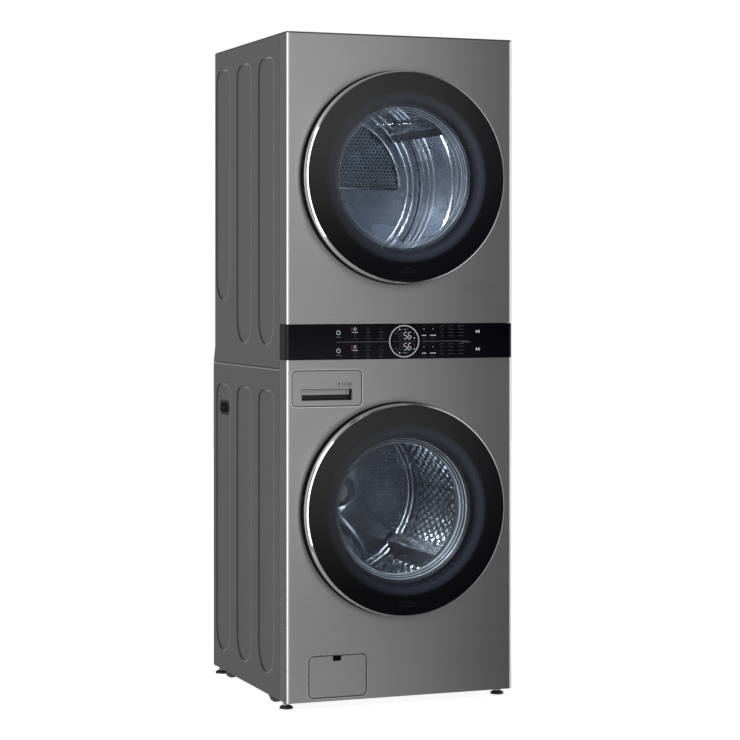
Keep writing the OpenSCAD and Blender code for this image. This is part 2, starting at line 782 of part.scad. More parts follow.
module tub_front() {
    color(white_plastic) {
        turned(washer_z) polygon([
            [collar_r, tub_d[0] - 18], [collar_r, tub_d[0]], [tub_r - 8, tub_d[0]], [tub_r, tub_d[0] + 8],
            [tub_r, tub_d[1]], [tub_r - tub_t, tub_d[1]], [tub_r - tub_t, tub_d[0] + 9],
            [tub_r - 9, tub_d[0] + tub_t], [collar_r - 4, tub_d[0] + tub_t], [collar_r - 4, tub_d[0] - 18]
        ]);
        damper_ears(damper_d[0]);
    }
}

hub_r = 46;
bearing_r = 31;
bearings = [[556, 572], [596, 612]];
module tub_rear() {
    b = tub_d[2];
    color(white_plastic) {
        turned(washer_z) polygon([
            [tub_r - tub_t, tub_d[1] + touch], [tub_r, tub_d[1] + touch], [tub_r, b - 12], [tub_r - 12, b],
            [hub_r, b], [hub_r, 616], [shaft_r + 4, 616], [shaft_r + 4, bearings[1][1] + touch],
            [bearing_r + touch, bearings[1][1] + touch], [bearing_r + touch, bearings[1][0] - touch],
            [shaft_r + 4, bearings[1][0] - touch], [shaft_r + 4, bearings[0][1] + touch],
            [bearing_r + touch, bearings[0][1] + touch], [bearing_r + touch, 554], [hub_r, 554],
            [hub_r, b - 7], [tub_r - 14, b - 7], [tub_r - tub_t, b - 16]
        ]);
        damper_ears(damper_d[1]);
        // ears that the springs hook
        difference() {
            for (s = [-1, 1]) span([s * spring_x - 12, s * spring_x + 12], [spring_d - 10, spring_d + 10],
                                   [hang_z - 50, hang_z]);
            ycyl(tub_r - tub_t / 2, spring_d - 30, spring_d + 30, 0, washer_z);
        }
    }
}

// Two concrete blocks bolted to the front of the tub, above and below the mouth
module counterweights() {
    color(concrete) difference() {
        yring(tub_r - 14, collar_r + 17, 42, tub_d[0] - touch, 0, washer_z);
        span([-tub_r, tub_r], [30, 80], [washer_z - 70, washer_z + 70]);
    }
}

module damper_rods() {
    color(zinc) for (s = [-1, 1], d = damper_d) translate([s * damper_x, fy(d), 0]) {
        translate([0, 0, 110]) cylinder(r = 6, h = ear_z - touch - 110);
        translate([0, 0, 110]) cylinder(r = damper_r - 2 - clear, h = 24);
    }
}

damper_z = [foot_h + base_t + member_h + touch, 205];
module damper_cylinders() {
    color(black) for (s = [-1, 1], d = damper_d) translate([s * damper_x, fy(d), 0]) difference() {
        translate([0, 0, damper_z[0]]) cylinder(r = damper_r, h = damper_z[1] - damper_z[0]);
        translate([0, 0, damper_z[0] + 8]) cylinder(r = damper_r - 2, h = damper_z[1] - damper_z[0] - 14);
        translate([0, 0, damper_z[1] - 10]) cylinder(r = 6 + fit, h = 12);
    }
}

wire_r = 2.6;
coil_pitch = 4.9;
coil_r = 11;
module suspension_springs() {
    z0 = hang_z + touch;
    z1 = deck_z - touch;
    n = floor((z1 - z0 - 16) / coil_pitch);
    color(zinc) for (s = [-1, 1]) translate([s * spring_x, fy(spring_d), z0]) {
        cylinder(r = 4, h = 9);
        translate([0, 0, z1 - z0 - 9]) cylinder(r = 4, h = 9);
        translate([0, 0, 6]) cylinder(r = coil_r, h = 3);
        translate([0, 0, z1 - z0 - 9]) cylinder(r = coil_r, h = 3);
        translate([0, 0, 8]) rotate_extrude() for (i = [0:n - 1])
            translate([coil_r, (i + 0.5) * (z1 - z0 - 16) / n]) circle(wire_r);
    }
}

// The door seal: a bead on the dish, a lip on the bowl, a fold, and a cuff round the tub's collar
module door_gasket() {
    lip = bowl_r - 17.9;
    color(grey_rubber) turned(washer_z) polygon([
        [mouth_r + 1, dish_back + 0.2], [lip + 6, 22], [lip, 26], [lip + 1, 29.5], [lip + 7, 26.5],
        [mouth_r - 2, 20], [mouth_r - 1, 24], [mouth_r - 6, 31], [mouth_r - 1, 38], [mouth_r - 1, 47],
        [collar_r + touch, 52], [collar_r + touch, 66], [collar_r + 6, 66], [collar_r + 7, 50],
        [collar_r + 7, 38.5], [collar_r + 2.3, 31], [collar_r + 7, 23.5],
        [mouth_r + 9, 18], [mouth_r + 9, dish_back + 0.2]
    ]);
}

module drum_bearings() {
    color(zinc) for (b = bearings) yring(bearing_r, shaft_r + fit, b[0], b[1], 0, washer_z);
}

teeth = 18;
module motor_stator() {
    d = [tub_d[2] + touch, 602];
    color([0.45, 0.25, 0.12]) {
        yring(72, hub_r + touch, d[0], d[1], 0, washer_z);
        for (i = [0:teeth - 1]) translate([0, 0, washer_z]) rotate([0, i * 360 / teeth, 0])
            span([70, 108], [d[0] + 8, d[1]], [-5, 5]);
    }
}

module motor_rotor() {
    color(zinc) turned(washer_z) polygon([
        [112, 576], [126, 576], [126, 628], [44, 628], [44, 634], [shaft_r + touch, 634],
        [shaft_r + touch, 619], [44, 619], [44, 622], [112, 622]
    ]);
}

// ---------------------------------------------------------------- washer drum

wd = [96, 530];                             // front and back of the drum
module washer_drum() {
    r = washer_drum_r;
    t = drum_t;
    color(brushed) turned(washer_z) polygon([
        [206, wd[0] + 4], [206, wd[0]], [r - 15, wd[0]], [r, wd[0] + 12], [r, wd[1] - 10],
        [r - 8, wd[1]], [0, wd[1]], [0, wd[1] - t], [r - 9, wd[1] - t], [r - t, wd[1] - 10.5],
        [r - t, wd[0] + 12.5], [r - 15.5, wd[0] + t], [206 + t, wd[0] + t], [206 + t, wd[0] + 4]
    ]);
}

// A lifter's cross-section, standing on the inside of a drum of radius r
module lifter(r, z, d, rise, foot_w, top_w, turn) {
    for (i = [0:lifters - 1]) translate([0, 0, z]) rotate([0, turn + i * 360 / lifters, 0])
        front_plate(d[0], d[1]) intersection() {
            circle(r);
            polygon([[-foot_w / 2, -r - 2], [foot_w / 2, -r - 2], [foot_w / 2, -r + 8],
                     [top_w / 2, -r + rise], [-top_w / 2, -r + rise], [-foot_w / 2, -r + 8]]);
        }
}

module washer_lifters() {
    color(black) lifter(washer_drum_r - drum_t - touch, washer_z, [wd[0] + 24, wd[1] - 20],
                                52, 78, 34, 70);
}

module drum_spider() {
    d = wd[1] + touch;
    color(zinc) {
        ycyl(42, d, 551, 0, washer_z);
        ycyl(shaft_r, d, 640, 0, washer_z);
        for (a = [90, 210, 330]) translate([0, 0, washer_z]) rotate([0, a, 0])
            span([30, washer_drum_r - 14], [d, d + 13], [-20, 20]);
    }
}

// ---------------------------------------------------------------- dryer

dd = [94, 556];                             // front and back of the drum
bead_d = [140, 180, 220, 260, 300, 440, 480, 520];
bead_h = 4;
collar_t = 5;

module dryer_drum() {
    r = dryer_drum_r;
    t = drum_t;
    outer = concat([[226, dd[0] + 4], [226, dd[0]], [r - 8, dd[0]], [r, dd[0] + 8]],
        [for (b = bead_d) each [[r, b - 7], [r - bead_h, b - 3], [r - bead_h, b + 3], [r, b + 7]]],
        [[r, dd[1]]]);
    inner = concat([[r - t, dd[1]]],
        [for (i = [len(bead_d) - 1:-1:0]) let (b = bead_d[i])
            each [[r - t, b + 7], [r - bead_h - t, b + 3], [r - bead_h - t, b - 3], [r - t, b - 7]]],
        [[r - t, dd[0] + 8.5], [r - 8.5, dd[0] + t], [226 + t, dd[0] + t], [226 + t, dd[0] + 4]]);
    color(brushed) turned(dryer_z) polygon(concat(outer, inner));
}

module dryer_lifters() {
    color(black) lifter(dryer_drum_r - drum_t - bead_h - touch, dryer_z, [dd[0] + 30, dd[1] - 16],
                                46, 64, 26, -8);
}

lint_x = 105;
lint_d = [54, 78];
chase = [-120, 190];                        // the air chase below the load opening
shaft = [130, seam_z + 126];                // the motor's axis
motor_d = [182, 340];
motor_r = 62;
axle_r = 6;
pulley_r = 14;
belt_d = [353, 371];
wheel_r = 78;

module dryer_front_bulkhead() {
    p = [84, 86.5];
    color(white_plastic) difference() {
        union() {
            span([-half_w + 8, half_w - 8], p, [deck_z + deck_h + 2, body_h - 20]);
            ycyl(mouth_r + collar_t, dish_back + touch, dd[0] + 6, 0, dryer_z);
            span(chase, [50, p[0] + 1], [deck_z + 58, dryer_z - mouth_r + 8]);
        }
        ycyl(mouth_r + 0.2, -cut, dd[0] + 20, 0, dryer_z);
        span([chase[0] + 2, chase[1] - 2], [52, p[0]], [deck_z + 60, dryer_z - mouth_r - collar_t - 6]);
        span([-lint_x, lint_x], lint_d, [dryer_z - mouth_r - 30, dryer_z - mouth_r + 60]);
        ycyl(55, p[0] - cut, p[1] + cut, shaft[0], shaft[1]);
    }
}

// A frame with mesh windows, hung from a curved plate that closes the slot
module lint_filter() {
    x = lint_x - 2;
    z0 = dryer_z - mouth_r - 140;
    color(black) {
        intersection() {
            yring(mouth_r + 4, mouth_r + 0.4, lint_d[0] + 1, lint_d[1] - 1, 0, dryer_z);
            span([-x, x], lint_d, [dryer_z - mouth_r - 10, dryer_z]);
        }
        difference() {
            span([-x + 6, x - 6], [62, 70], [z0, dryer_z - mouth_r - 1.5]);
            for (i = [-4:4], k = [0:2]) span([i * 20 - 8, i * 20 + 8], [60, 72],
                                           [z0 + 8 + k * 38, z0 + 8 + k * 38 + 32]);
        }
        // the finger bar
        span([-26, 26], [lint_d[0] + 3, lint_d[0] + 6], [dryer_z - mouth_r - 4, dryer_z - mouth_r + 12]);
    }
}

hole_r = 5;
hole_pitch = 18;                            // between the air holes in a row
row_pitch = 15.6;
grille_r = 200;                             // the holes fill the upper half of a disc
heater = [[-205, 205], [566, 606], [dryer_z + 6, dryer_z + grille_r + 6]];
module dryer_rear_bulkhead() {
    p = [562, 564];
    color(zinc) difference() {
        union() {
            span([-half_w + 8, half_w - 8], p, [deck_z + deck_h + 2, body_h - 20]);
            span(heater[0], [p[1] - 1, heater[1][1]], heater[2]);
            for (s = [-1, 1]) ycyl(5, 534, p[0] + 1, s * roller_x, roller_z);
        }
        span([heater[0][0] + 1.5, heater[0][1] - 1.5], [p[0] + 2, heater[1][1] - 1.5],
             [heater[2][0] + 1.5, heater[2][1] - 1.5]);
        // the air enters through rows of holes, in front of the heater
        for (k = [0:11], i = [-11:11]) {
            x = (i + (k % 2) / 2) * hole_pitch;
            z = 14 + k * row_pitch;
            if (x * x + z * z < pow(grille_r - hole_r - 2, 2))
                ycyl(hole_r, p[0] - cut, p[1] + cut, x, dryer_z + z);
        }
        ycyl(duct_r + 4, p[0] - cut, p[1] + cut, duct_x, duct_z);
    }
}

module exhaust_duct() {
    f = [92, 160];
    t = 2;
    color(zinc) difference() {
        union() {
            ycyl(wheel_r + 10, f[0], f[1], shaft[0], shaft[1]);
            span([duct_x - duct_r - t, shaft[0]], f, [duct_z - duct_r - t, duct_z + duct_r + t]);
            ycyl(duct_r - 0.8, f[1] - 1, washer_depth, duct_x, duct_z);
            ycyl(duct_r, stub_d, washer_depth + rear_reach, duct_x, duct_z);
        }
        ycyl(wheel_r + 8, f[0] + t, f[1] - t, shaft[0], shaft[1]);
        span([duct_x - duct_r, shaft[0]], [f[0] + t, f[1] - t], [duct_z - duct_r, duct_z + duct_r]);
        ycyl(duct_r - t, f[0] + t, washer_depth + rear_reach + cut, duct_x, duct_z);
        ycyl(52, f[0] - cut, f[0] + t + cut, shaft[0], shaft[1]);
        ycyl(axle_r + 4, f[1] - t - cut, f[1] + cut, shaft[0], shaft[1]);
    }
}

module dryer_motor() {
    color([0.3, 0.3, 0.32]) difference() {
        union() {
            ycyl(motor_r, motor_d[0], motor_d[1], shaft[0], shaft[1]);
            span([shaft[0] - 50, shaft[0] + 50], [motor_d[0] + 15, motor_d[1] - 15],
                 [deck_z + base_t + touch, shaft[1] - 30]);
        }
        ycyl(axle_r + fit, motor_d[0] - cut, motor_d[1] + cut, shaft[0], shaft[1]);
    }
}

// The motor's shaft with its blower wheel in front and its pulley behind
module blower_wheel() {
    color(black) {
        ycyl(axle_r, 100, belt_d[1] + 4, shaft[0], shaft[1]);
        ycyl(wheel_r, 146, 149, shaft[0], shaft[1]);
        ycyl(16, 120, 149, shaft[0], shaft[1]);
        yring(wheel_r, wheel_r - 10, 100, 103, shaft[0], shaft[1]);
        for (i = [0:15]) translate([shaft[0], 0, shaft[1]]) rotate([0, i * 22.5, 0])
            span([wheel_r - 22, wheel_r - 1], [100, 148], [-1.2, 1.2]);
        ycyl(pulley_r, belt_d[0] - 1, belt_d[1] + 1, shaft[0], shaft[1]);
        for (d = [belt_d[0] - 2.5, belt_d[1] + 1]) ycyl(pulley_r + 4, d, d + 1.5, shaft[0], shaft[1]);
    }
}

module belt_line(extra) {
    hull() {
        translate([0, dryer_z]) circle(dryer_drum_r + clear + extra, $fn = 240);
        translate([shaft[0], shaft[1]]) circle(pulley_r + clear + extra, $fn = 48);
    }
}

module drum_belt() {
    color(black) front_plate(belt_d[0], belt_d[1]) difference() {
        belt_line(2.2);
        belt_line(0);
    }
}

roller_r = 22;
roller_a = 28;                              // from straight down, either side
roller_x = (dryer_drum_r + roller_r + clear) * sin(roller_a);
roller_z = dryer_z - (dryer_drum_r + roller_r + clear) * cos(roller_a);
module roller(s) {
    color(black) difference() {
        ycyl(roller_r, 536, 553, s * roller_x, roller_z);
        ycyl(5 + fit, 530, 560, s * roller_x, roller_z);
    }
}
module roller_left() { roller(-1); }
module roller_right() { roller(1); }

// ---------------------------------------------------------------- assembly

base_frame();
washer_cabinet();
dryer_cabinet();
top_cover();
washer_rear_panel();
dryer_rear_panel();
washer_front_panel();
dryer_front_panel();
door_surrounds();
control_panel();
control_board();
separator_deck();
hinge_brackets();
door_locks();
grip_cups();
rear_screws();
dispenser_housing();
inlet_valves();
drain_pump();
filter_bay();
terminal_cover();
door_gasket();
suspension_springs();
damper_cylinders();
dryer_front_bulkhead();
dryer_rear_bulkhead();
exhaust_duct();
dryer_motor();
drum_belt();
tub_front();
tub_rear();
counterweights();
motor_stator();
drum_bearings();
damper_rods();
washer_drum();
washer_lifters();
drum_spider();
motor_rotor();
washer_door_frame();
washer_door_trim();
washer_door_glass();
washer_door_bowl();
dryer_door_frame();
dryer_door_trim();
dryer_door_glass();
dryer_door_bowl();
dryer_drum();
dryer_lifters();
blower_wheel();
roller_left();
roller_right();
detergent_drawer();
pump_flap();
pump_filter();
lint_filter();
foot_front_left();
foot_front_right();
foot_back_left();
foot_back_right();
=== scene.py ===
"""Washer dryer stack: camera, materials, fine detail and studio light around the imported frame.

Metres throughout. The front faces -Y, +X is the viewer's right and +Z is up.
"""
import math

import bmesh
import bpy
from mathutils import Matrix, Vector


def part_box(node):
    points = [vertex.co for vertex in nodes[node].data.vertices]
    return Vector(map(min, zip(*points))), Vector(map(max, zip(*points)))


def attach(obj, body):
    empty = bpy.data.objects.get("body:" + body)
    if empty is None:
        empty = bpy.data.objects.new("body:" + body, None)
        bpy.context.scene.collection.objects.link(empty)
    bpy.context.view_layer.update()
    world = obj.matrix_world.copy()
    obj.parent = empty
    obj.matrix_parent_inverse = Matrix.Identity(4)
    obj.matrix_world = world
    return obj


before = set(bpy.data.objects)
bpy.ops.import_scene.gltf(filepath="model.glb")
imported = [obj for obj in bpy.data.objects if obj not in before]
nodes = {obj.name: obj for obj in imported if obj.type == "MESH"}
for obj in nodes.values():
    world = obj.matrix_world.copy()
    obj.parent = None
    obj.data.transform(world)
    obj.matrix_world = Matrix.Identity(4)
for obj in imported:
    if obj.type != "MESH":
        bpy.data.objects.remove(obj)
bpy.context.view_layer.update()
scene = bpy.context.scene

# ------------------------------------------------------------------ places, from the frame

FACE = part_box("washer_front_panel")[0].y  # the front face of the panels
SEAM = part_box("washer_cabinet")[1].z      # where the two cabinets meet
BASE_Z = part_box("washer_cabinet")[0].z
DRYER_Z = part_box("dryer_cabinet")[0].z
W_LO, W_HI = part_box("washer_door_trim")
D_LO, D_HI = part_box("dryer_door_trim")
WASHER = Vector((0.0, 0.0, (W_LO.z + W_HI.z) / 2))  # on the axis that a door and its drum share
DRYER = Vector((0.0, 0.0, (D_LO.z + D_HI.z) / 2))

# ------------------------------------------------------------------ camera

CAMERA_AT = (-2.3564, FACE - 5.9343, 1.2005)
CAMERA_TURN = -20.857  # degrees about Z; the camera is level

cam = bpy.data.cameras.new("camera")
cam.lens = 110.0
cam.sensor_width = 36.0
cam.shift_y = -0.1224
cam.clip_end = 60
camera = bpy.data.objects.new("camera", cam)
camera.location = CAMERA_AT
camera.rotation_euler = (math.radians(90), 0, math.radians(CAMERA_TURN))
scene.collection.objects.link(camera)
scene.camera = camera

# ------------------------------------------------------------------ material helpers

PLAIN = (1, 1, 1)
STEEL_TINT = (1, 1, 1.01)
BRUSH = (3, 3, 420)  # streaks long in X and Y, fine in Z
LOW, HIGH = 0.3, 0.7  # the useful part of a noise's range


def is_link(value):
    return hasattr(value, "is_output")


def grey(v):
    return (v, v, v, 1)


class Mat:
    """A procedural material on one Principled shader."""

    def __init__(self, name, **values):
        self.m = bpy.data.materials.new(name)
        self.m.use_nodes = True
        self.t = self.m.node_tree
        self.t.nodes.clear()
        self.out = self.t.nodes.new("ShaderNodeOutputMaterial")
        self.b = self.t.nodes.new("ShaderNodeBsdfPrincipled")
        self.t.links.new(self.b.outputs[0], self.out.inputs[0])
        for k, v in values.items():
            self.set(k, v)
        self._obj = None

    def put(self, socket, value):
        if is_link(value):
            self.t.links.new(value, socket)
        else:
            socket.default_value = value

    def set(self, key, value):
        self.put(self.b.inputs[key.replace("_", " ")], value)

    def coords(self):
        if self._obj is None:
            self._obj = self.t.nodes.new("ShaderNodeTexCoord").outputs["Object"]
        return self._obj

    def node(self, kind, props=None, **inputs):
        """A new node; i0, i1 and so on name its inputs by number."""
        n = self.t.nodes.new("ShaderNode" + kind)
        for k, v in (props or {}).items():
            setattr(n, k, v)
        for k, v in inputs.items():
            key = int(k[1:]) if k[0] == "i" and k[1:].isdigit() else k.replace("_", " ")
            self.put(n.inputs[key], v)
        return n

    def math(self, op, a, b=0.0):
        return self.node("Math", {"operation": op}, i0=a, i1=b).outputs[0]

    def length(self, a, b):
        return self.math("SQRT", self.math("ADD", self.math("MULTIPLY", a, a), self.math("MULTIPLY", b, b)))

    def near(self, value, at, half):
        """1 within half of a place, 0 elsewhere."""
        return self.math("LESS_THAN", self.math("ABSOLUTE", self.math("SUBTRACT", value, at)), half)

    def times(self, a, b):
        return self.node("VectorMath", {"operation": "MULTIPLY"}, i0=a, i1=b).outputs[0]

    def noise(self, scale, stretch=PLAIN, detail=3.0, rough=0.5):
        v = self.node("Mapping", Vector=self.coords(), Scale=stretch).outputs[0]
        return self.node("TexNoise", Vector=v, Scale=scale, Detail=detail, Roughness=rough).outputs["Fac"]

    def ramp(self, fac, stops):
        n = self.t.nodes.new("ShaderNodeValToRGB")
        self.t.links.new(fac, n.inputs[0])
        e = n.color_ramp.elements
        while len(e) < len(stops):
            e.new(0.5)
        for i, (p, c) in enumerate(stops):
            e[i].position = p
            e[i].color = grey(c) if isinstance(c, (int, float)) else tuple(c) + (1,)
        return n.outputs[0]

    def fit(self, fac, lo, hi, a=0.0, b=1.0):
        return self.node("MapRange", Value=fac, From_Min=lo, From_Max=hi, To_Min=a, To_Max=b).outputs[0]

    def mix(self, fac, a, b):
        n = self.node("Mix", {"data_type": "RGBA"})
        self.put(n.inputs[0], fac)
        for socket, v in ((n.inputs[6], a), (n.inputs[7], b)):
            self.put(socket, v if is_link(v) else tuple(v) + (1,) * (4 - len(v)))
        return n.outputs[2]

    def axis(self, n):
        return self.node("SeparateXYZ", Vector=self.coords()).outputs[n]

    def bump(self, height, strength, distance):
        self.set("Normal", self.node("Bump", Height=height, Strength=strength, Distance=distance).outputs[0])

    def vary(self, grain, rough_lo, rough_hi):
        """Roughness that drifts between two values."""
        self.set("Roughness", self.fit(self.noise(grain), LOW, HIGH, rough_lo, rough_hi))

    def mottle(self, g, tone, lo, hi, tint, rough_lo, rough_hi):
        """Colour and roughness that both follow the noise g."""
        stops = ((LOW, lo), (HIGH, hi))
        self.set("Base_Color", self.ramp(g, [(at, [tone * k * t for t in tint]) for at, k in stops]))
        self.set("Roughness", self.fit(g, LOW, HIGH, rough_lo, rough_hi))


def brushed(name, tone=0.44, spread=0.07, rough=0.36):
    """Sheet steel brushed along its width, with reflections drawn out up and down."""
    m = Mat(name, Metallic=1.0, Anisotropic=0.85)
    m.set("Tangent", m.node("CombineXYZ", Z=1.0).outputs[0])
    streak = m.noise(1.0, BRUSH, 4, 0.62)
    cloud = m.fit(m.noise(2.4, detail=2), LOW, HIGH, 0.0, 0.12)
    stops = ((LOW, 1 - spread), (HIGH, 1 + spread))
    sheet = m.ramp(streak, [(at, [tone * k * t for t in STEEL_TINT]) for at, k in stops])
    m.set("Base_Color", m.mix(cloud, sheet, [tone * 0.82 * t for t in STEEL_TINT]))
    m.set("Roughness", m.fit(streak, 0.25, 0.75, rough - 0.05, rough + 0.08))
    m.bump(streak, 0.12, 0.0004)
    return m


def painted(name, tone, rough=0.42):
    """Powder coat: fine orange peel and a faint metallic grain."""
    m = Mat(name, Metallic=0.25, Specular_IOR_Level=0.4)
    m.mottle(m.noise(900, detail=2), tone, 0.88, 1.12, PLAIN, rough - 0.04, rough + 0.06)
    m.bump(m.noise(160, detail=2), 0.08, 0.0006)
    return m


def plastic(name, tone, rough=0.45, tint=PLAIN, grain=500, strength=0.1):
    """Moulded plastic with a spark-eroded grain."""
    m = Mat(name)
    g = m.noise(grain, detail=2)
    m.mottle(g, tone, 0.9, 1.1, tint, rough - 0.05, rough + 0.07)
    m.bump(g, strength, 0.0005)
    return m


def metal(name, tone, rough=0.3, grain=120):
    """Zinc-coated or cast metal with a soft mottle."""
    m = Mat(name, Metallic=1.0)
    m.mottle(m.noise(grain, detail=4), tone, 0.85, 1.1, PLAIN, rough - 0.06, rough + 0.1)
    return m


def drum_steel(name, tone, rough, grain=60, low=0.8):
    """Bluish stainless sheet with streaks along the drum's axis."""
    m = Mat(name, Metallic=1.0)
    streak = m.noise(1.0, (grain, 4, grain), 3)
    dark = [tone * low * t for t in (1.0, 1.08, 1.22)]
    light = [tone * t for t in (1.0, 1.06, 1.16)]
    m.set("Base_Color", m.ramp(streak, [(LOW, dark), (HIGH, light)]))
    m.set("Roughness", m.fit(streak, LOW, HIGH, rough - 0.05, rough + 0.06))
    return m


def glow(name, colour, strength, base=0.02):
    """Backlit ink; also gives print and trim a painted glow."""
    ink = tuple(c * base for c in colour) + (1,)
    return Mat(name, Base_Color=ink, Roughness=0.5, Specular_IOR_Level=0.15,
               Emission_Color=tuple(colour) + (1,), Emission_Strength=strength)


def dress(mat, *names):
    for n in names:
        slots = nodes[n].data.materials
        if not slots:
            slots.append(mat.m)
        for i in range(len(slots)):
            slots[i] = mat.m


def radius_from(m, centre):
    """Distance from an axis along Y through centre, in the material's object coordinates."""
    return m.length(m.axis(0), m.math("SUBTRACT", m.axis(2), centre.z))


# ------------------------------------------------------------------ the painted sides

RIB_PITCH = 0.206     # from one pressed recess to the next, going back
RIB_START = 0.0795    # from the face to half a pitch before the first one's middle
RIB_HALF = 0.0705     # half a recess's width, and the radius of its lower end
RIB_CORNER = 0.040    # the radius of its two upper corners
RIB_PAINT_BAND = (-0.0035, 0.0015)  # the band of painted light and shade round the rolled edge, inside and outside the outline
RIB_LIGHT, RIB_SHADE = 1.75, -0.36
SEAM_HALF = 0.0035    # half the painted line along the joint of the two cabinets: a highlight on the washer, shade on the dryer
WRAP_BACK, WRAP_HALF, WRAP_LIGHT = 0.0335, 0.0022, 0.45  # the painted light line behind the front's folded edge


def recess_painted_shading(m, bottom, top, short):
    """A gain of painted light along the front edge of each pressed recess and painted shade along its rear
    edge.

    The recesses run from bottom to top, and the third one ends short above the others.
    """
    n = m.math
    back = n("SUBTRACT", m.axis(1), FACE)
    lap = n("FLOORED_MODULO", n("SUBTRACT", back, RIB_START), RIB_PITCH)
    along = n("SUBTRACT", lap, RIB_PITCH / 2)
    side = n("ABSOLUTE", along)
    out_y = n("MAXIMUM", n("SUBTRACT", side, RIB_HALF - RIB_CORNER), 0.0)
    out_z = n("MAXIMUM", n("SUBTRACT", m.axis(2), top - RIB_CORNER), 0.0)
    upper = n("SUBTRACT", m.length(out_y, out_z), RIB_CORNER)
    third = n("GREATER_THAN", back, RIB_START + 2 * RIB_PITCH)
    end_z = n("ADD", n("MULTIPLY", third, short), bottom + RIB_HALF)
    low_z = n("MINIMUM", n("SUBTRACT", m.axis(2), end_z), 0.0)
    lower = n("SUBTRACT", m.length(side, low_z), RIB_HALF)
    edge = n("MAXIMUM", upper, lower)
    shade_band = n("MULTIPLY", n("GREATER_THAN", edge, RIB_PAINT_BAND[0]), n("LESS_THAN", edge, RIB_PAINT_BAND[1]))
    return n("ADD", n("MULTIPLY", shade_band, m.fit(along, -0.02, 0.02, RIB_LIGHT, RIB_SHADE)), 1.0)


def side_paint_with_painted_light(name, tone, bottom, top, short, seam_z, seam_light):
    """Side paint with painted light and shade at its recesses' edges, a painted line at the seam and a
    painted light line behind the front's fold.
    """
    m = painted(name, tone)
    gain = recess_painted_shading(m, bottom, top, short)
    seam = m.near(m.axis(2), seam_z, SEAM_HALF)
    wrap = m.near(m.axis(1), FACE + WRAP_BACK, WRAP_HALF)
    gain = m.math("ADD", gain, m.math("MULTIPLY", seam, seam_light))
    gain = m.math("ADD", gain, m.math("MULTIPLY", wrap, WRAP_LIGHT))
    base = m.b.inputs["Base Color"].links[0].from_socket
    m.set("Base_Color", m.node("VectorMath", {"operation": "SCALE"}, i0=base, Scale=gain).outputs[0])
    return m


# The washer's line at the seam is a painted highlight along its top edge; the dryer's is painted shade along
# its foot.
dress(side_paint_with_painted_light("washer_side_paint", 0.104, 0.082, 0.886, 0.0, SEAM, 1.5), "washer_cabinet")
dress(side_paint_with_painted_light("dryer_side_paint", 0.108, 1.014, 1.830, 0.124, DRYER_Z, -0.55), "dryer_cabinet")
dress(painted("side_paint", 0.108), "washer_rear_panel", "dryer_rear_panel", "terminal_cover")
dress(painted("top_paint", 0.05), "top_cover")

# ------------------------------------------------------------------ the front, and what is inside

dress(brushed("front_steel"), "washer_front_panel", "dryer_front_panel", "pump_flap")

black_gloss = Mat("panel_glass", Base_Color=(0.0014, 0.0010, 0.0026, 1), Roughness=0.10,
                  Specular_IOR_Level=0.16)
black_gloss.bump(black_gloss.noise(6, detail=1), 0.02, 0.001)
dress(black_gloss, "control_panel")

chrome = Mat("chrome", Metallic=1.0, Base_Color=grey(0.80))
chrome.vary(40, 0.07, 0.15)
dress(chrome, "washer_door_trim", "dryer_door_trim")

dress(plastic("black_plastic", 0.010, 0.42), "door_surrounds", "washer_door_frame", "dryer_door_frame")
dress(plastic("dark_plastic", 0.02, 0.5), "grip_cups", "door_locks", "drain_pump", "damper_cylinders",
      "pump_filter", "lint_filter", "blower_wheel", "roller_left", "roller_right")
dress(plastic("white_plastic", 0.62, 0.5, (1, 0.995, 0.97)), "inlet_valves", "tub_front", "tub_rear")
dress(plastic("mouth_plastic", 0.05, 0.3, (0.9, 1.0, 1.2)), "dryer_front_bulkhead")
dress(plastic("seal_rubber", 0.09, 0.55, (0.98, 1, 1.04), 260, 0.15), "door_gasket")
dress(plastic("belt_rubber", 0.02, 0.7), "drum_belt")
dress(plastic("concrete", 0.4, 0.85, (1, 0.98, 0.94), 60, 0.6), "counterweights")
dress(plastic("circuit_board", 0.08, 0.4, (0.4, 1.3, 0.7)), "control_board")
dress(metal("zinc", 0.45, 0.38), "base_frame", "separator_deck", "hinge_brackets", "rear_screws",
      "motor_rotor")
dress(metal("cast_alloy", 0.4, 0.45, grain=300), "exhaust_duct", "dryer_motor", "drum_spider")
dress(metal("drawn_wire", 0.32, 0.3), "suspension_springs", "damper_rods", "drum_bearings", "motor_stator")

# white housings, painted dark round their mouths: painted shade in the gaps round the drawer and the flap
MOUTH_SHADE_DEPTH = 0.03
housing = Mat("housing_plastic", Roughness=0.5)
inside = housing.math("GREATER_THAN", housing.axis(1), FACE + MOUTH_SHADE_DEPTH)
housing.set("Base_Color", housing.mix(inside, (0.008, 0.008, 0.009), (0.6, 0.6, 0.58)))
dress(housing, "dispenser_housing", "filter_bay")

# the drums
drum_mat = drum_steel("drum_steel", 0.47, 0.24, 12, 0.93)
dress(drum_mat, "dryer_drum")
dress(drum_steel("washer_steel", 0.16, 0.20), "washer_drum")
dress(drum_steel("lifter_steel", 0.11, 0.22), "washer_lifters", "dryer_lifters")
back_steel = Mat("back_steel", Metallic=1.0, Base_Color=(0.30, 0.34, 0.41, 1))
back_steel.vary(12, 0.24, 0.30)
dress(back_steel, "dryer_rear_bulkhead")

